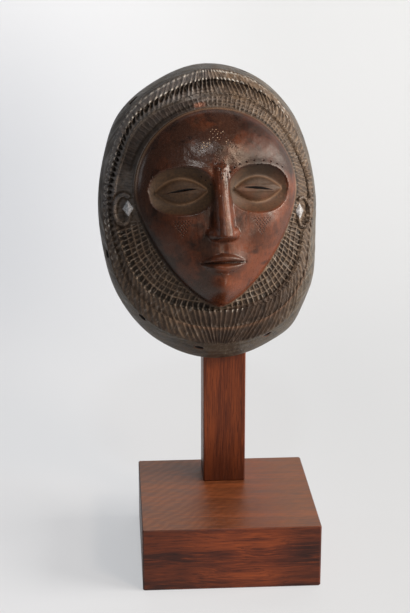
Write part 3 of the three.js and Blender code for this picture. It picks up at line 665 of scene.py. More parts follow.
def add_net(carving, last):
    """Net of fine raised lines between the bands and the face; returns the edge ring."""
    angle = ring_angles(SAMPLES)
    at = Around(angle)
    limit = find_face_radius(angle) + NET_MARGIN
    start = inner_radius(angle) - NET_STEP_RUN
    # The edge ring against the face: painted shade in the crease
    edge = carving.add(*plan_point(angle, limit), NET_FACE_HEIGHT, hair=1, groove=0.85)
    # Painted shade on the net's left, and darker tones on the brow strip, the crown and the lower right
    dim = 0.4 * at.net_dim_left + 0.8 * at.brow + 0.35 * at.net_dim_crown + 0.2 * at.net_dim_right
    rings = math.ceil((start - limit).max() / NET_RING_STEP)
    for k in range(1, rings + 1):
        inside = k * NET_RING_STEP
        radius = start - inside
        free = radius - limit
        depth, lines, carved = net_relief(angle, radius, inside)
        fade = ease((inside + 0.7 * at.comb) / 1.2) * ramp(free, 0, 1.6)
        gully = at.gully_left * peak(free, 3.2, 1.0) + at.gully_right * peak(free, 1.4, 1.0)
        chip = at.chip * peak(free, 2.6, 2.0, 4)
        near_teeth = at.comb * ramp(inside, 5, 3)
        cell_tone = ring_noise(angle, RIB_COUNT, inside / NET_PITCH + 0.5, 26)
        # Cells and gullies darkened with dirt and painted shade
        dark = 0.8 - 0.2 * at.dull_net + 0.2 * cell_tone + 0.3 * near_teeth
        light = (0.22 - 0.06 * at.dull_net + 0.12 * cell_tone) * (1 - 0.6 * at.brow) + 0.16 * near_teeth
        cut = fade * (1 - lines)
        w = net_floor(angle, radius) - depth * cut - 0.5 * gully - 0.6 * chip
        w = w + NET_START_LIFT * at.soft_step * np.exp(-inside / 3) * ramp(free, 0, 3)
        w = w + 0.2 * ring_noise(angle, 90, inside / 4, 25)
        ring = carving.add(
            *plan_point(angle, radius), w, hair=1, worn=chip, line=1 - carved, dim=dim,
            groove=np.clip(carved * cut * dark + 0.8 * gully, 0, 1),
            crest=np.clip(carved * light * lines, 0, 1),
        )
        ring = np.where(free > 0.4 * NET_RING_STEP, ring, edge)
        carving.sew(last, ring)
        last = ring
    return edge


# Lines where the face turns sharply: zero on the line, about a millimetre per unit beside it
FACE_LINES = [
    lambda u, v: (socket_share(u, v) - 1) * SOCKET_HALF_HEIGHT,
    lid_line,
    lambda u, v: lip_line(u, v, 0),
    lambda u, v: np.abs(u - FACE_MIDDLE_U) - nose_half(v),
    lambda u, v: (socket_share(u, v) - SOCKET_INNER_SHARE) * SOCKET_HALF_HEIGHT,
    lambda u, v: lip_line(u, v, UPPER_LIP_REACH),
    lambda u, v: lip_line(u, v, -LOWER_LIP_REACH),
]


def snap_to_lines(u, v, pairs, fixed):
    """Moves the nearer end of each edge that crosses a line onto that line."""
    step = 0.01
    for line in FACE_LINES:
        for _ in range(2):
            d = line(u, v)
            du = (line(u + step, v) - d) / step
            dv = (line(u, v + step) - d) / step
            steep = du * du + dv * dv
            good = (steep > 0.3) & (steep < 4) & (np.abs(d) < 0.9) & ~fixed
            a, b = pairs.T
            crossing = (d[a] * d[b] < 0) & (np.minimum(np.abs(d[a]), np.abs(d[b])) > 1e-4)
            near = np.where(np.abs(d[a]) < np.abs(d[b]), a, b)[crossing]
            near = np.unique(near[good[near]])
            u[near] -= d[near] * du[near] / steep[near]
            v[near] -= d[near] * dv[near] / steep[near]
            fixed[near] = True


def upper_edge(v):
    """1 on the face's edge above the eye line, fading to 0 below it."""
    return ramp(v, EYE_V - 34, EYE_V)


def face_detail(u, v):
    """What only the fine surface carries: lips of the lids, a raised edge, marks of the knife."""
    x = u - FACE_MIDDLE_U
    w = np.where(np.abs(lid_across(u)) < 0.97, 0.55 * peak(lid_line(u, v), 0.2, 0.8), 0)
    slit = np.abs(v - EYE_V - SLIT_LIFT) / (SLIT_HALF_HEIGHT + 1.2)
    near_slit = ramp(np.abs(np.abs(x) - SOCKET_OFFSET), SLIT_HALF_WIDTH + 3, SLIT_HALF_WIDTH - 2)
    w = w + 0.5 * near_slit * peak(slit, 1, 0.4)
    edge = (1 - face_share(u, v)) * np.where(v > EYE_V, 66, 60)
    w = w + upper_edge(v) * (0.75 * peak(edge, 0.7, 0.75) - 0.25 * peak(edge, 2.6, 0.9))
    half = nose_half(v)
    bow = np.clip(np.abs(x) / np.maximum(half, 1), 0, 1) ** 2 * (1 - ease((np.abs(x) - half) / 4))
    w = w - 0.9 * np.where(half > 0, bow, 0)
    w = w + 0.22 * lattice_noise(u / 9 + 40, v / 9 + 40, 30)
    return w + 0.07 * lattice_noise(u / 3.1 + 80, v / 3.1 + 80, 31)


def add_face(carving, net_edge):
    """The face inside its edge ring."""
    angle = ring_angles(SAMPLES // 2)
    radius = find_face_radius(angle)
    shaded = Around(angle).under_cheek
    # The step at the face's edge: a faint painted highlight, and painted shade on the lower left
    step = carving.add(
        *plan_point(angle, radius + FACE_STEP_RUN), NET_FACE_HEIGHT + FACE_STEP_RISE,
        hair=0.7, crest=0.2 * (1 - shaded), groove=0.9 * shaded,
    )
    carving.sew(net_edge, step)
    edge = np.array(plan_point(angle, radius))
    found, rings = [], []
    start = first = carving.count
    for share_from, share_to, count, every in FACE_RINGS:
        for share in np.linspace(share_from, share_to, count):
            ring = np.array(face_ring(edge[:, ::every], share))
            found.append(ring)
            rings.append(start + np.arange(ring.shape[1]))
            start += ring.shape[1]
    found.append(np.array([[FACE_MIDDLE_U], [EYE_V]], float))
    faces_before = len(carving.faces)
    for outer, inner in zip(rings, rings[1:]):
        carving.sew(outer, inner)
    last = rings[-1]
    carving.triangles(last, np.full(len(last), start), np.roll(last, -1))
    faces = np.concatenate(carving.faces[faces_before:]) - first
    pairs = np.concatenate([faces[:, [0, 1]], faces[:, [1, 2]], faces[:, [2, 0]]])
    pairs = np.unique(np.sort(pairs, 1), axis=0)
    u, v = np.concatenate(found, 1)
    snap_to_lines(u, v, pairs, face_share(u, v) >= 0.97)
    matte = ramp(socket_share(u, v), 1.0, 0.9) * (1 - 0.15 * ramp(lid_share(u, v), 1.1, 0.8))
    # Painted highlight on the lids' raised lips and along the face's upper edge
    crease = peak(lid_line(u, v), 0, 0.9) * (np.abs(lid_across(u)) < 0.97)
    edge = (1 - face_share(u, v)) * 63
    rim_line = peak(edge, 0.7, 0.7) * upper_edge(v)
    # Painted shade in the lips' parting, the nostrils and along the face's lower-left edge
    parting = peak(lip_line(u, v, 0), 0, 0.8)
    nostril = hill(np.abs(u - FACE_MIDDLE_U) - 7, v - NOSE_BASE_V - 1.5, 4.5, 1.6)
    shaded = Around(plan_polar(u, v)[0]).under_cheek * peak(edge, 0, 2.2)
    carving.add(
        u, v, face_height(u, v) + face_detail(u, v), socket=matte, line=rim_line,
        crest=np.maximum(0.7 * crease, rim_line),
        groove=np.clip(0.8 * parting + 0.8 * nostril + 0.9 * shaded, 0, 1),
    )
    carving.sew(step, rings[0])


def add_hollow(carving, last):
    """Smooth hollow behind, at the thickness of the wall, with the marks of the adze."""
    angle = ring_angles(RIB_COUNT)
    turned = lean(angle, outer_radius(angle))
    mouth = rim_radius(turned) - RIM_THICKNESS
    behind = np.minimum(mouth - 0.5, outer_radius(turned) - 7)
    face_edge = find_face_radius(turned)
    keys = [
        plan_line(turned, mouth, 0),
        plan_line(turned, behind, outer_height(turned) * 0.6),
        plan_line(turned, ridge_radius(turned) - WALL_INSET, ridge_height(turned) - WALL_BACK),
        plan_line(turned, face_edge - 3, FACE_EDGE_W - 10),
    ]
    for share in (0.78, 0.45, 0):
        ring = face_ring(plan_point(turned, face_edge), share)
        keys.append(np.stack([*ring, np.full(RIB_COUNT, face_dome(share) - FACE_WALL)], -1))
    for n, steps in enumerate(HOLLOW_STEPS):
        for t in np.arange(steps) / steps:
            row = keys[n] * (1 - t) + keys[n + 1] * t
            gouge = 0.5 + 0.5 * ring_noise(angle, 31, (n + t) * 2.5, 40)
            row[:, 2] += 0.9 * min(1, (n + t) / 0.7) * gouge
            ring = carving.add(*row.T, inside=min(1, 0.4 + n + t))
            carving.sew(last, ring, back=True)
            last = ring
    tip = carving.add(*(keys[-1][:1] + (0, 0, 0.4)).T, inside=1)
    carving.triangles(last, np.roll(last, -1), np.full(len(last), tip[0]))


def ear_path(side, u, v):
    """Line of the ear's rolled rim, open towards the face, curling in below."""
    n = np.arange(49) / 48
    bend = np.radians(120 - 330 * n)
    shrink = 1 - 0.6 * ramp(n, 0.5, 1)
    x = u + side * EAR_HALF_WIDTH * shrink * np.cos(bend)
    y = v + EAR_HALF_HEIGHT * (shrink * np.sin(bend) - 0.55 * (1 - shrink))
    return x, y


def raise_ears(carving):
    """Lifts the surface over the rolled rim and the smooth facet of each ear."""
    points = np.concatenate(carving.points)
    values = {name: np.concatenate(parts) for name, parts in carving.values.items()}
    values["ear"] = np.zeros(len(points))
    for side, u, v, hollow_shade in EARS:
        near = (np.abs(points[:, 0] - u) < 13) & (np.abs(points[:, 1] - v + 2) < 20)
        chosen = np.flatnonzero(near & (values["hair"] > 0.4) & (values["inside"] == 0))
        pu, pv, pw = points[chosen].T

        def distance(x, y):
            return np.hypot(pu[:, None] - x, pv[:, None] - y).min(1)

        x, y = ear_path(side, u, v)
        away = distance(x, y)
        fold = ramp(distance(u + 0.52 * (x - u), v - 3 + 0.5 * (y - v)), 1.2, 0.4)
        calm = ramp(away, 5.5, 2)
        over = away < FINE_EAR_RADIUS
        floor = net_floor(*plan_polar(pu, pv))
        roll = FINE_EAR_LIFT + np.sqrt(np.maximum(0, FINE_EAR_RADIUS ** 2 - away ** 2))
        facet_u = u - side * EAR_FACET_INSET
        tent = 1 - np.abs(pu - facet_u) / EAR_FACET_HALF_WIDTH - np.abs(pv - v - 1) / EAR_FACET_HALF_HEIGHT
        facet = 0.4 + EAR_FACET_RISE * np.minimum(1, 1.5 * np.maximum(0, tent))
        w = pw * (1 - calm) + np.minimum(pw, floor - 0.3 + fold) * calm
        w = np.where(over, np.maximum(w, floor + roll - 0.2), w)
        points[chosen, 2] = np.where(tent > 0, np.maximum(w, floor + facet), w)
        shown = over | (tent > 0)
        values["ear"][chosen] = np.where(tent > 0.02, 1.0, 0.3 * ramp(away, 1.4, 0.6))
        # Pale crests of the rolled rim and facet: painted highlights
        top = np.where(tent > 0, 0.3, 0.3 * ramp(away, 0.8, 0.2))
        crest = 0.3 * fold * calm + values["crest"][chosen] * (1 - calm)
        values["crest"][chosen] = np.where(shown, top, crest)
        # Painted shade in the ear's hollow
        dark = np.maximum(values["groove"][chosen] * (1 - calm), calm * hollow_shade * (1 - 0.7 * fold))
        values["groove"][chosen] = np.where(shown, 0.0, dark)
    return points, values


def pose_matrix():
    """Places the plan of the mask in the room, in metres: leaning back and turned a little."""
    right = Vector((math.cos(MASK_TURN), math.sin(MASK_TURN), 0))
    forward = Vector((
        math.sin(MASK_TURN) * math.cos(MASK_LEAN),
        -math.cos(MASK_TURN) * math.cos(MASK_LEAN),
        math.sin(MASK_LEAN),
    ))
    basis = Matrix((right, forward.cross(right), forward)).transposed().to_4x4()
    return Matrix.Scale(0.001, 4) @ Matrix.Translation(MASK_MIDDLE) @ basis


def in_room(points):
    return (np.c_[points, np.ones(len(points))] @ np.array(pose_matrix()).T)[:, :3]


def places(points):
    """Plan place in centimetres, and the same as a direction from the middle with a radius."""
    u, v = points[:, 0] - PLAN_CENTRE[0], points[:, 1] - PLAN_CENTRE[1]
    radius = np.hypot(u, v) + 1e-6
    return {"plan": points / 10, "sweep": np.stack([u / radius, v / radius, radius / 10], 1)}


def in_scene(name, data):
    piece = bpy.data.objects.new(name, data)
    bpy.context.scene.collection.objects.link(piece)
    return piece


def new_object(name, points, faces, values=None, vectors=None):
    mesh = bpy.data.meshes.new(name)
    faces = np.asarray(faces, np.int32)
    mesh.vertices.add(len(points))
    mesh.vertices.foreach_set("co", np.asarray(points, np.float32).ravel())
    mesh.loops.add(faces.size)
    mesh.loops.foreach_set("vertex_index", faces.ravel())
    mesh.polygons.add(len(faces))
    mesh.polygons.foreach_set("loop_start", np.arange(len(faces), dtype=np.int32) * faces.shape[1])
    mesh.update(calc_edges=True)
    for kind, field, given in (("FLOAT", "value", values), ("FLOAT_VECTOR", "vector", vectors)):
        for key, value in (given or {}).items():
            attribute = mesh.attributes.new(key, kind, "POINT")
            attribute.data.foreach_set(field, np.asarray(value, np.float32).ravel())
    mesh.polygons.foreach_set("use_smooth", np.ones(len(faces), bool))
    return in_scene(name, mesh)


def wear(piece, *materials):
    piece.data.materials.clear()
    for material in materials:
        piece.data.materials.append(material)


# Slits, holes and punched dots, with the number of the material that lies in each
DARK_DOT, PALE_DOT, BORE = 1, 2, 3
HOLE_SIDES = 20
# Forehead ornament: spacing of the dots in the cross, its arms and the band to the nose
CROSS_PITCH, ARM_PITCH, BAND_PITCH = 1.7, 2.2, 1.8


def prism(outline, bottom, top):
    """Closed prism over a flat outline, as points and triangles."""
    outline = np.asarray(outline, float)
    n = len(outline)
    points = np.concatenate([np.c_[outline, np.full(n, height)] for height in (bottom, top)])
    faces = []
    for i in range(n):
        j = (i + 1) % n
        faces += [(i, j, n + j), (i, n + j, n + i)]
    for i in range(1, n - 1):
        faces += [(0, i + 1, i), (n, n + i, n + i + 1)]
    return points, np.array(faces)


def ball(centre, radius, depth_scale=1.0, axes=None):
    """Small closed ball of eight sides, stretched along its third axis, as points and triangles."""
    sides, levels = 8, 4
    points = [(0, 0, -1)]
    for level in range(1, levels):
        tilt = math.pi * level / levels
        reach, height = math.sin(tilt), -math.cos(tilt)
        points += [(reach * math.cos(turn), reach * math.sin(turn), height) for turn in ring_angles(sides)]
    points.append((0, 0, 1))
    faces = []
    last = 1 + (levels - 2) * sides
    for side in range(sides):
        after = (side + 1) % sides
        faces.append((0, 1 + after, 1 + side))
        for level in range(levels - 2):
            a, b = 1 + level * sides + side, 1 + level * sides + after
            faces += [(a, b, b + sides), (a, b + sides, a + sides)]
        faces.append((last + side, last + after, len(points) - 1))
    scaled = np.array(points) * (radius, radius, radius * depth_scale)
    if axes is not None:
        scaled = scaled @ axes
    return scaled + np.asarray(centre), np.array(faces)


def rim_frame(degrees, radius):
    """Place and axes of a hole square to the rim's outer surface."""
    angle = math.radians(degrees)
    run = float(rim_radius(angle) - outer_radius(angle))
    rise = float(outer_height(angle)) - RIM_LIFT
    w = RIM_LIFT + rise * (float(rim_radius(angle)) - radius) / run
    outward = Vector((math.sin(angle) * rise, math.cos(angle) * rise, run)).normalized()
    tangent = Vector((math.cos(angle), -math.sin(angle), 0))
    place = Vector((*plan_point(angle, radius), w)) - HOLE_START * outward
    return np.array(place), np.array([tangent, outward.cross(tangent), outward])


def eye_slit(side):
    """Slit through a lid, pointed at both ends and sloping down towards the hollow."""
    t = np.linspace(0, 1, 13)
    sign = np.repeat([1, -1], (13, 11))
    t = np.concatenate([t, t[-2:0:-1]])
    bow = 1 - (2 * t - 1) ** 2
    outline = np.stack([(2 * t - 1) * SLIT_HALF_WIDTH, SLIT_HALF_HEIGHT * bow * sign + SLIT_LIFT * bow], 1)
    points, faces = prism(outline[::-1], SLIT_BACK, SLIT_FRONT)
    points[:, 1] += (points[:, 2] - SLIT_FRONT_W) * SLIT_SLOPE
    return points + (FACE_MIDDLE_U + side * SOCKET_OFFSET, EYE_V, 0), faces


def brow_dots():
    """A row of punched dots over one socket, and a few beside the root of the nose."""
    dots = []
    squash = 2 / SOCKET_SQUARENESS
    for k in range(10):
        turn = math.radians(158 - 12.5 * k)
        across = math.copysign(abs(math.cos(turn)) ** squash, math.cos(turn))
        u = FACE_MIDDLE_U + SOCKET_OFFSET + (SOCKET_HALF_WIDTH + 3) * across
        dots.append((u, EYE_V + (SOCKET_HALF_HEIGHT + 3.2) * math.sin(turn) ** squash, 0.85))
    for k in range(3):
        dots.append((FACE_MIDDLE_U - 9 - 3.4 * k, BROW_V - 9 + 3.2 * k, 0.7))
    return dots


def forehead_dots():
    """A cross of punched dots on the forehead, with a band of dots down to the nose."""
    random = np.random.default_rng(SEED + 50)
    head_v = HAIRLINE_V - 23
    dots = [
        (CROSS_PITCH * i, head_v + CROSS_PITCH * j, 0.75)
        for i in range(-4, 5) for j in range(-3, 4)
        if abs(i) + abs(j) <= 4 and (i + j) % 2 == 0
    ]
    dots += [
        (side * (7 + ARM_PITCH * i), head_v - 6.5 - 1.4 * i + 2.0 * j, 0.5 - 0.15 * side)
        for side in (-1, 1) for i in range(5) for j in range(-1, 2)
    ]
    for k in range(13):
        half = 1.4 + 1.9 * math.sin(math.pi * k / 12)
        dots += [(side * half, head_v - 15 - BAND_PITCH * k + 0.9 * abs(side), 0) for side in (-1, 0, 1)]
    found = []
    for x, v, pale_share in dots:
        shift = random.normal(0, 0.28, 2)
        if random.uniform() < 0.85:
            pale = random.uniform() < pale_share
            found.append((FACE_MIDDLE_U - 1 + x + shift[0], v + shift[1], random.uniform(0.36, 0.52), pale))
    return found


def mask_cuts():
    """Slits, holes and punched dots, then the worn mouths of the round holes: two sets of solids."""
    def bore(outline, degrees, radius):
        place, axes = rim_frame(degrees, radius)
        points, faces = prism(outline, 0, HOLE_LENGTH)
        cuts.append((points @ axes + place, faces, BORE, 1))
        return place, axes

    def dot(u, v, lift, size, depth_scale, kind):
        w = float(face_height(np.array(u), np.array(v)))
        cuts.append((*ball((u, v, w + lift * size), size, depth_scale), kind, 0))

    cuts = [(*eye_slit(side), BORE, 0) for side in (-1, 1)]
    mouths = []
    turns = ring_angles(HOLE_SIDES)
    circle = RIM_HOLE_RADIUS * np.stack([np.cos(turns), np.sin(turns)], 1)
    for degrees, radius in RIM_HOLES:
        place, axes = bore(circle, degrees, radius)
        mouth = ball(place + HOLE_MOUTH * axes[2], 1.25 * RIM_HOLE_RADIUS, 2.0, axes[[1, 2, 0]])
        mouths.append((*mouth, BORE, 1))
    slot_angle, slot_radius, half_length, half_width = RIM_SLOT
    corners = np.array([(-1, -1), (1, -1), (1, 1), (-1, 1)], float)
    bore(corners * (half_length, half_width), slot_angle, slot_radius)
    for u, v, size in brow_dots():
        dot(u, v, 0.15, size, 1.2, DARK_DOT)
    for u, v, size, pale in forehead_dots():
        dot(u, v, 0.3, size, 1.0, PALE_DOT if pale else DARK_DOT)
    return cuts, mouths


def join_cutter(parts):
    """One object from a set of solids, and the number of the material of each of its faces."""
    points, faces, kinds, in_rim = [], [], [], []
    start = 0
    for p, f, kind, rim in parts:
        points.append(p)
        faces.append(f + start)
        kinds += [kind] * len(f)
        in_rim += [rim] * len(p)
        start += len(p)
    local = np.concatenate(points)
    bare = {name: np.zeros(len(local)) for name in (*Carving.VALUES, "ear", "tears")}
    bare["rim"] = np.array(in_rim)
    cutter = new_object("cutter", in_room(local), np.concatenate(faces), bare, places(local))
    return cutter, np.array(kinds, np.int32)


def cut_away(mask, cutter):
    cut = mask.modifiers.new("cuts", "BOOLEAN")
    cut.operation = "DIFFERENCE"
    cut.solver = "MANIFOLD"
    cut.object = cutter
    bpy.context.view_layer.update()
    evaluated = mask.evaluated_get(bpy.context.evaluated_depsgraph_get())
    carved = bpy.data.meshes.new_from_object(evaluated)
    mask.modifiers.clear()
    mask.data = carved
    bpy.data.objects.remove(cutter)


# Materials
def colour(red, green, blue):
    """A colour as the eye reads it, 0 to 255, as the shader's linear values."""
    def linear(c):
        c = c / 255
        return c / 12.92 if c <= 0.04045 else ((c + 0.055) / 1.055) ** 2.4
    return (linear(red), linear(green), linear(blue), 1.0)


class Value:
    """A value in a material; what is done with it becomes a node."""

    def __init__(self, shader, socket):
        self.shader = shader
        self.socket = socket

    def __add__(self, other):
        return self.shader.math("ADD", self, other)

    def __sub__(self, other):
        return self.shader.math("SUBTRACT", self, other)

    def __rsub__(self, other):
        return self.shader.math("SUBTRACT", other, self)

    def __mul__(self, other):
        return self.shader.math("MULTIPLY", self, other)

    def __abs__(self):
        return self.shader.math("ABSOLUTE", self, 0)

    def at_least(self, other):
        return self.shader.math("MAXIMUM", self, other)

    def between(self, low, high, to_low=0.0, to_high=1.0):
        """From low to high, eased and spread from to_low to to_high."""
        inputs = {"Value": self, "From Min": low, "From Max": high, "To Min": to_low, "To Max": to_high}
        return self.shader.node("ShaderNodeMapRange", inputs, interpolation_type="SMOOTHSTEP")

    def tones(self, first, second):
        """The first colour where this is 0, the second where it is 1."""
        return self.shader.mix(self, first, second)

    def blend(self, first, second):
        """The first number where this is 0, the second where it is 1."""
        return self.shader.node("ShaderNodeMix", {0: self, 2: first, 3: second}, data_type="FLOAT")

    def paint(self, share, tone):
        return self.shader.mix(share, self, tone)

    def stain(self, share, tone):
        return self.shader.mix(share, self, tone, "MULTIPLY")

    def axis(self, name):
        return self.shader.node("ShaderNodeSeparateXYZ", {0: self}, name)


class Shader:
    """Short ways to build a material's nodes."""

    def __init__(self, name):
        self.material = bpy.data.materials.new(name)
        self.material.use_nodes = True
        self.tree = self.material.node_tree
        self.inputs = self.tree.nodes["Principled BSDF"].inputs

    def put(self, socket, value):
        """Links or sets a value; three numbers for a colour are read from 0 to 255."""
        if isinstance(value, Value):
            self.tree.links.new(value.socket, socket)
        elif socket.type == "RGBA" and len(value) == 3:
            socket.default_value = colour(*value)
        else:
            socket.default_value = value

    def node(self, kind, inputs, output=0, **settings):
        made = self.tree.nodes.new(kind)
        for key, value in settings.items():
            setattr(made, key, value)
        for key, value in inputs.items():
            self.put(made.inputs[key], value)
        return Value(self, made.outputs[output])

    def attribute(self, name, output="Fac"):
        return self.node("ShaderNodeAttribute", {}, output, attribute_name=name)

    def geometry(self, output):
        return self.node("ShaderNodeNewGeometry", {}, output)

    def math(self, operation, a, b, clamp=False):
        return self.node("ShaderNodeMath", {0: a, 1: b}, operation=operation, use_clamp=clamp)

    def vector(self, source, scale=(1, 1, 1), turn=0, move=(0, 0, 0)):
        inputs = {"Vector": source, "Scale": scale, "Rotation": (0, 0, turn), "Location": move}
        return self.node("ShaderNodeMapping", inputs)

    def noise(self, place, scale, detail, roughness=0.6, distortion=0.0):
        inputs = {"Vector": place, "Scale": scale, "Detail": detail}
        inputs |= {"Roughness": roughness, "Distortion": distortion}
        return self.node("ShaderNodeTexNoise", inputs, "Fac")

    def wave(self, place, scale, distortion, detail, kind="BANDS", direction="X"):
        inputs = {"Vector": place, "Scale": scale, "Distortion": distortion, "Detail": detail}
        settings = {"wave_type": kind, "bands_direction": direction, "rings_direction": direction}
        return self.node("ShaderNodeTexWave", inputs, "Fac", **settings)

    def mix(self, share, first, second, kind="MIX"):
        inputs = {0: share, 6: first, 7: second}
        return self.node("ShaderNodeMix", inputs, 2, data_type="RGBA", blend_type=kind)

    def bump(self, height, strength, distance, under=None):
        inputs = {"Height": height, "Strength": strength, "Distance": distance}
        if under is not None:
            inputs["Normal"] = under
        return self.node("ShaderNodeBump", inputs)

    def finish(self, base, roughness, normal, specular=0.5, tint=(1, 1, 1, 1)):
        settings = {"Base Color": base, "Roughness": roughness, "Normal": normal}
        settings |= {"Specular IOR Level": specular, "Specular Tint": tint}
        for key, value in settings.items():
            self.put(self.inputs[key], value)
        return self.material


def mask_material():
    """Oiled dark wood: polished red-brown face with painted light and shade, matt sockets, ribs pale with
    dust and painted highlights over grooves dark with dirt and painted shade.
    """
    s = Shader("mask_wood")
    plan, sweep = (s.attribute(name, "Vector") for name in ("plan", "sweep"))
    hair, groove, crest, rim, socket = map(s.attribute, ("hair", "groove", "crest", "rim", "socket"))
    inside, worn, line, ear, tears = map(s.attribute, ("inside", "worn", "line", "ear", "tears"))
    across, up = plan.axis("X"), plan.axis("Y")

    grain = s.noise(s.vector(plan, (3.2, 0.32, 3.2)), 2.4, 5, 0.6, 0.4)
    patches = s.noise(plan, 0.42, 4, 0.55, 0.3)
    mottling = s.noise(plan, 1.7, 4)
    speckle = s.noise(plan, 14, 3)
    smudges = s.noise(plan, 0.8, 3, 0.6, 0.5)
    dust = s.noise(plan, 5.5, 4, 0.65)
    scratches = s.noise(s.vector(plan, (1.0, 9.0, 1.0), 0.5), 3.0, 2, 0.5)
    streaks = s.noise(s.vector(sweep, (5, 5, 6)), 1.0, 4, 0.65)
    fibres = s.noise(s.vector(sweep, (55, 55, 1.6)), 1.0, 3)

    # Face
    # Painted light: darker to the left and towards the top, lighter to the right and lower down, over random
    # red patches
    painted_light_gradient = across.between(-6, 6, -0.6, 0.35) + up.between(-6, 6, 0.3, -0.3)
    redder_and_painted_light = s.math("ADD", patches.between(0.38, 0.64), painted_light_gradient, clamp=True)
    shaded_lower_left = across.between(0.5, -4.5) * up.between(1.5, -2.5)
    shaded_upper_right = across.between(0.8, 3.2) * up.between(1.5, 3.5)
    face = redder_and_painted_light.tones((60, 36, 26), (106, 54, 31))
    face = face.paint(mottling.between(0.52, 0.72, 0, 0.4), (80, 50, 35))
    face = face.stain(grain.between(0.35, 0.7, 0, 0.45), (125, 102, 92))
    face = face.stain(speckle.between(0.58, 0.72, 0, 0.45), (125, 108, 100))
    face = face.stain(smudges.between(0.52, 0.7, 0, 0.75), (140, 132, 130))
    face = face.paint(socket * 0.72, dust.between(0.35, 0.7).tones((50, 36, 21), (74, 54, 33)))
    # Painted highlight on the lids' lips and the face's raised upper edge
    face = face.paint(crest * 0.6, (146, 112, 84))
    # Painted shade over the lower left of the face
    face = face.stain(shaded_lower_left * 0.6, (150, 150, 156))
    # Painted shade over the right of the forehead, damping the highlight there
    face = face.stain(shaded_upper_right * 0.9, (164, 150, 140))
    # Painted shade in the lips' parting, the nostrils and along the face's lower-left edge
    face = face.stain(groove * 0.8, (70, 52, 48))

    # Rows of small punched marks under the eyes
    first, second = (
        s.wave(s.vector(plan, turn=turn), 1.55, 0.5, 1).between(0.35, 0.8) for turn in (0.7, -0.7)
    )
    hatch = first * second * tears * dust.between(0.3, 0.5, 0.4, 1)
    face = face.stain(hatch * 0.9, (70, 56, 52))

    # Coiffure
    # Groove colours: dirt and painted shade, near black for the painted shadow in the deepest grooves
    low = dust.between(0.3, 0.7).tones((52, 41, 33), (80, 62, 47))
    black = dust.between(0.3, 0.7).tones((19, 14, 10), (38, 28, 20))
    low = low.paint(groove.between(0.76, 0.98), black)
    top = dust.between(0.35, 0.68).tones((150, 138, 124), (226, 219, 208))
    smooth = mottling.between(0.35, 0.65).tones((40, 34, 28), (62, 50, 39))
    hairs = mottling.between(0.35, 0.65).tones((82, 66, 53), (118, 97, 77))
    hairs = hairs.paint(across.between(2.0, -2.0, 0, 0.34) * up.between(-2.0, 2.0), (150, 153, 157))
    # Pale crests: dust, with painted highlights
    hairs = hairs.paint(crest.between(0.1, 0.9), top)
    hairs = hairs.paint(groove.between(0.12, 0.7), low)
    hairs = hairs.paint(fibres.between(0.56, 0.7, 0, 0.32), top)
    hairs = hairs.stain(fibres.between(0.46, 0.32, 0, 0.7), (120, 104, 94))
    hairs = hairs.paint(line * 0.8, smooth)
    # Painted shade and darker tones set round the coiffure
    hairs = hairs.stain(s.attribute("dim"), (150, 138, 136))

    # Rim, ridge worn bare, and the ears' facets
    edge = mottling.between(0.36, 0.64).tones((50, 44, 37), (84, 73, 60))
    edge = edge.paint(patches.between(0.45, 0.7, 0, 0.6), (74, 60, 48))
    edge = edge.paint(dust.between(0.55, 0.78, 0, 0.5), (120, 112, 100))
    edge = edge.paint(streaks.between(0.5, 0.72, 0, 0.5), (126, 119, 109))
    edge = edge.stain(streaks.between(0.52, 0.3, 0, 0.5), (128, 116, 108))
    edge = edge.stain(speckle.between(0.55, 0.7, 0, 0.6), (110, 104, 100))
    # Pale streaks on the lower-left rim: painted sheen, so they show where the rim lies in shade
    left_edge = across.between(-3.5, -6.0) * up.between(-6.0, -2.0)
    edge = edge.paint(streaks.between(0.4, 0.7, 0.1, 0.5) * left_edge, (166, 162, 160))
    hairs = hairs.paint(rim, edge)
    bare = speckle.between(0.5, 0.62).tones((122, 70, 50), (176, 134, 112))
    bare = up.between(2.0, 4.0).tones((108, 76, 55), bare)
    hairs = hairs.paint(worn * up.between(2.0, 4.0, 0.6, 0.9), bare)
    # Pale facets: a light tone of their own, brightened by painted highlight
    facet = dust.between(0.35, 0.65).tones((150, 150, 152), (218, 217, 217))
    hairs = hairs.paint(ear.between(0.4, 1.0, 0, 0.8), facet)

    # Hollow
    raw = grain.between(0.3, 0.7).tones((74, 50, 35), (112, 80, 55))
    raw = raw.stain(mottling.between(0.4, 0.7, 0, 0.6), (110, 92, 80))
    outer = hair.at_least(rim)
    base = outer.tones(face, hairs).paint(inside, raw)

    # Gloss: polished face, drier coiffure and hollow
    brow_polish = up.between(1.5, 3.0, 0, 0.1) * across.between(3.0, 0.5)
    polish = brow_polish.at_least(up.between(-4.5, -7.0, 0, 0.08))
    face_gloss = dust.between(0.3, 0.7, 0.26, 0.38) + speckle.between(0.5, 0.7, 0, 0.12)
    face_gloss = face_gloss - polish + shaded_upper_right * 0.05
    face_gloss = (socket * 0.85).blend(face_gloss, 0.68)
    hair_gloss = ear.between(0.0, 0.3).blend(crest.blend(0.58, 0.32), 0.24)
    hair_gloss = rim.blend(hair_gloss, mottling.between(0.35, 0.65, 0.38, 0.55))
    gloss = inside.blend(outer.blend(face_gloss, hair_gloss), 0.74)

    normal = None
    for height, strength, distance in (
        (grain * 0.5 + speckle * 0.5, 0.22, 0.0006),
        (scratches, 0.10, 0.0006),
        (outer.at_least(inside) * dust, 0.55, 0.0012),
        (rim * streaks, 0.4, 0.001),
        (hair * fibres, 0.5, 0.001),
        (1.0 - hatch, 0.7, 0.0009),
    ):
        normal = s.bump(height, strength, distance, normal)
    return s.finish(base, gloss, normal, specular=0.4, tint=(1.0, 0.9, 0.8, 1.0))


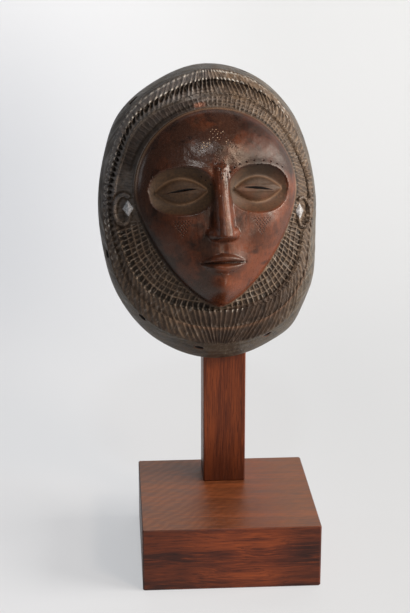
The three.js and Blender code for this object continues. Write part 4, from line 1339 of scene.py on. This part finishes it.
def pit_material(name, deep, light, share):
    """What lies in the punched dots, dark dirt or remains of pale clay, and the painted shade on the walls
    of the slits and holes.
    """
    s = Shader(name)
    dust = s.noise(s.attribute("plan", "Vector"), 9, 3)
    base = dust.between(0.35, 0.65, 0, share).tones(deep, light)
    return s.finish(base, dust.between(0.3, 0.7, 0.6, 0.8), s.bump(dust, 0.4, 0.0005), specular=0.3)


def stand_material(name, grain_axis, dark, mid, light, top, waves, ends, foot_darkening):
    """Oiled red-brown hardwood with grain along one axis of the room."""
    s = Shader(name)

    def by_axis(on_grain, others):
        return [on_grain if n == grain_axis else others for n in range(3)]

    letter = "XYZ"[grain_axis]
    centimetres = s.vector(s.geometry("Position"), (100, 100, 100))
    facing = s.geometry("True Normal")
    bend = s.noise(s.vector(centimetres, by_axis(0.16, 0.5)), 0.9, 2, 0.5)
    swayed = {0: bend, 1: by_axis(0, waves), 2: s.vector(centimetres, by_axis(0.05, 1.0))}
    along = s.node("ShaderNodeVectorMath", swayed, operation="MULTIPLY_ADD")
    wide = s.noise(along, 0.9, 3, 0.5)
    patches = s.noise(centimetres, 0.2, 2, 0.5)
    pores = s.noise(s.vector(along, (1.6, 1.6, 1.6)), 9, 2, 0.5)
    end_face = abs(facing.axis(letter)).between(0.8, 0.95)
    rings = s.wave(s.vector(centimetres, move=(3, 3, 7)), 1.1, 0.7, 2, "RINGS", letter)
    lines = end_face.blend(s.noise(along, 7.5, 4), rings.between(0, 1, 0.42, 0.6))

    # Long grain, darker towards the ends
    far = abs(centimetres.axis("X") - 0.8)
    darkening = far.between(2.2, 5.6, 0, ends), patches.between(0.52, 0.36, 0, 0.3)
    end_share = s.math("ADD", *darkening, clamp=True)
    base = (end_share * 0.6).tones(mid, dark)
    base = base.paint(wide.between(0.45, 0.65, 0, 0.4) * end_face.between(0, 1, 1, 0.2), light)
    base = base.paint(lines.between(0.5, 0.72, 0, 0.6), light)
    base = base.stain(lines.between(0.5, 0.32, 0, 0.48), (130, 106, 98))
    base = base.stain(pores.between(0.56, 0.7, 0, 0.6), (118, 98, 92))

    # Drier, paler top face with painted sheen towards the ends, and slanting lines
    upward = facing.axis("Z").between(0.6, 0.9)
    pale_top_and_sheen = upward * lines.between(0.3, 0.6, 0.5, 0.8) * far.between(1.5, 5.5, 0.5, 1.0)
    base = base.paint(pale_top_and_sheen * 0.7, top)
    slanting = centimetres.axis("X").between(3, -5, 0.1, 0.5) * ends * upward
    figure = s.wave(s.vector(centimetres, (1, 1, 0), 0.7), 0.42, 7, 3)
    base = base.stain(figure.between(0.2, 0.8) * slanting, (196, 182, 172))
    front = s.math("SUBTRACT", 1.0, pale_top_and_sheen, clamp=True)
    base = base.stain(end_share * (front * ends), (176, 166, 170))
    # Darker towards the post's foot
    foot = centimetres.axis("Z").between(11, 4.5) * lines.between(0.3, 0.6, 0.6, 1)
    base = base.stain(foot * foot_darkening, (120, 112, 110))
    normal = s.bump(pores + lines * 0.6, 0.15, 0.0004)
    return s.finish(base, lines.between(0.3, 0.7, 0.34, 0.5), normal, specular=0.28)


def paper_material(name, shade, roughness, scale, glow):
    """Pale backdrop that glows faintly, a painted light, with painted shade: cooler behind on the left,
    darker to the right, and dark far to the left and the front.
    """
    s = Shader(name)
    place = s.geometry("Position")
    x, y, z = (place.axis(letter) for letter in "XYZ")
    darker = (*(c * 0.985 for c in shade[:3]), 1.0)
    base = s.noise(place, scale, 2, 0.5).tones(darker, shade)
    away = x.between(-0.3, -0.9).at_least(y.between(-0.3, -0.8))
    # Painted shade: darker to the right, evening out the key light
    base = base.stain(x.between(-0.2, 0.2, 0, 0.9), (214, 214, 211))
    # Painted shade far to the left and the front
    base = base.paint(away * 0.9, (60, 62, 66))
    # Painted shadow, bluish, low on the left and towards the back
    hollow = x.between(0.1, -0.32) * z.between(0.5, 0.1) * y.between(0.3, 0.9, 0.2, 1.0)
    base = base.stain(hollow * 0.7, (150, 156, 168))
    # Painted light: the paper glows, dimmed where it is painted dark
    s.put(s.inputs["Emission Strength"], glow)
    s.put(s.inputs["Emission Color"], away.tones((0.97, 0.98, 1.0, 1.0), (0.1, 0.1, 0.11, 1.0)))
    normal = s.bump(s.noise(place, 180, 2, 0.5), 0.03, 0.0004)
    return s.finish(base, roughness, normal, specular=0.25)


# The mask
def tear_marks(points, values):
    """Where the rows of punched marks lie: a triangle under each eye."""
    x = np.abs(points[:, 0] - FACE_MIDDLE_U)
    on_face = (values["hair"] < 0.2) & (values["inside"] == 0) & (values["rim"] == 0)
    down = EYE_V - SOCKET_HALF_HEIGHT - 3 - points[:, 1]
    half = 9 * (1 - down / 17)
    return ease((half - np.abs(x - SOCKET_OFFSET - 1)) / 1.5) * ramp(down, 0, 1.5) * on_face


def build_mask():
    carving = Carving()
    rear_ring, last = add_rim(carving)
    last = add_bands(carving, last)
    net_edge = add_net(carving, last)
    add_face(carving, net_edge)
    add_hollow(carving, rear_ring)
    points, values = raise_ears(carving)
    values["tears"] = tear_marks(points, values)
    faces = np.concatenate(carving.faces)
    mask = new_object("mask_carved", in_room(points), faces, values, places(points))
    materials = [
        mask_material(),
        pit_material("mask_pit_dark", (20, 14, 12), (44, 30, 24), 0.8),
        pit_material("mask_pit_pale", (150, 120, 92), (228, 204, 174), 1.0),
        # Walls of the slits and holes: near black, painted shade
        pit_material("mask_bore", (15, 12, 10), (32, 25, 21), 0.7),
    ]
    wear(mask, *materials)
    for parts in mask_cuts():
        cutter, kinds = join_cutter(parts)
        wear(cutter, *materials)
        cutter.data.polygons.foreach_set("material_index", kinds)
        cut_away(mask, cutter)
    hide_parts("mask")
    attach(mask, "root")


# The stand keeps its solids
STAND_WOODS = {
    "post": {
        "grain_axis": 2, "dark": (60, 28, 14), "mid": (96, 42, 18), "light": (134, 64, 28),
        "top": (92, 55, 36), "waves": 0.4, "ends": 0, "foot_darkening": 0.8,
    },
    "base": {
        "grain_axis": 0, "dark": (44, 25, 18), "mid": (90, 37, 16), "light": (146, 68, 28),
        "top": (154, 98, 60), "waves": 0.9, "ends": 0.85, "foot_darkening": 0,
    },
}


def dress_stand():
    for name, wood in STAND_WOODS.items():
        wear(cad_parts[name], stand_material(f"{name}_wood", **wood))


# Floor and backdrop, light and camera, in metres
FLOOR_FRONT, BACKDROP_PLACE, FLOOR_SIDE, BACKDROP_HEIGHT, BACKDROP_BEND = -9.0, 1.3, 9.0, 2.6, 0.7
# Lights: place, aimed at, width and height, power, colour, and spread in degrees
LIGHTS = {
    "key": ((3.1, -0.7, 1.25), (0, 0, 0.28), (2.2, 1.9), 180, (1.0, 0.965, 0.92), 180),
    "front": ((1.0, -1.2, 1.45), (0, 0, 0.3), (0.4, 0.3), 11.5, (1.0, 0.84, 0.7), 180),
    "fill": ((-0.05, -1.3, 1.7), (0, 0, 0.3), (0.15, 0.1), 6, (0.84, 0.92, 1.0), 180),
    "low": ((0.85, -1.6, 0.35), (0, 0, 0.28), (0.4, 0.4), 5, (1.0, 0.93, 0.86), 180),
    "left": ((-1.7, 0.5, 0.72), (0, 0, 0.3), (0.4, 0.8), 2, (0.88, 0.93, 1.0), 180),
    "backdrop": ((0.1, 0.3, 1.6), (0.1, 1.25, 0.5), (1.4, 0.3), 2.6, (1.0, 1.0, 1.0), 80),
}
SKY_COLOUR, SKY_STRENGTH = (0.93, 0.96, 1.0, 1), 0.12
CAMERA_PLACE = (-0.094935, -1.210645, 0.596903)
CAMERA_DIRECTION = (0.06054, 0.95434, -0.29254)
# Focal length and height of the picture in pixels, and the sensor in millimetres
FOCAL_PIXELS, PICTURE_PIXELS, SENSOR_WIDTH = 1500, 613, 36


def build_stage():
    profile = [(FLOOR_FRONT, 0.0), (BACKDROP_PLACE - BACKDROP_BEND, 0.0)]
    for n in range(1, 17):
        bend = math.radians(90 * n / 16)
        y = BACKDROP_PLACE - BACKDROP_BEND + BACKDROP_BEND * math.sin(bend)
        profile.append((y, BACKDROP_BEND - BACKDROP_BEND * math.cos(bend)))
    profile.append((BACKDROP_PLACE, BACKDROP_HEIGHT))
    points = [(x, y, z) for y, z in profile for x in (-FLOOR_SIDE, FLOOR_SIDE)]
    faces = [(2 * n, 2 * n + 1, 2 * n + 3, 2 * n + 2) for n in range(len(profile) - 1)]
    floor = new_object("floor", points, faces)
    wear(floor, paper_material("paper", colour(164, 164, 165), 0.8, 1.2, 0.45))


def build_light():
    for name, (place, target, size, power, shade, spread) in LIGHTS.items():
        light = bpy.data.lights.new(name, "AREA")
        light.shape = "RECTANGLE"
        light.size, light.size_y = size
        light.energy = power
        light.spread = math.radians(spread)
        light.color = shade
        piece = in_scene(name, light)
        piece.location = place
        piece.rotation_euler = (Vector(target) - Vector(place)).to_track_quat("-Z", "Y").to_euler()
    world = bpy.data.worlds.new("soft")
    world.use_nodes = True
    background = world.node_tree.nodes["Background"]
    background.inputs[0].default_value = SKY_COLOUR
    background.inputs[1].default_value = SKY_STRENGTH
    bpy.context.scene.world = world


def build_camera():
    camera = bpy.data.cameras.new("camera")
    camera.sensor_fit = "AUTO"
    camera.sensor_width = SENSOR_WIDTH
    camera.lens = FOCAL_PIXELS / PICTURE_PIXELS * SENSOR_WIDTH
    camera.clip_start, camera.clip_end = 0.05, 20
    piece = in_scene("camera", camera)
    forward = Vector(CAMERA_DIRECTION).normalized()
    right = forward.cross(Vector((0, 0, 1))).normalized()
    basis = Matrix((right, right.cross(forward), -forward)).transposed().to_4x4()
    piece.matrix_world = Matrix.Translation(CAMERA_PLACE) @ basis
    bpy.context.scene.camera = piece


build_camera()
build_mask()
dress_stand()
build_stage()
build_light()
bpy.context.scene.view_settings.view_transform = "Standard"
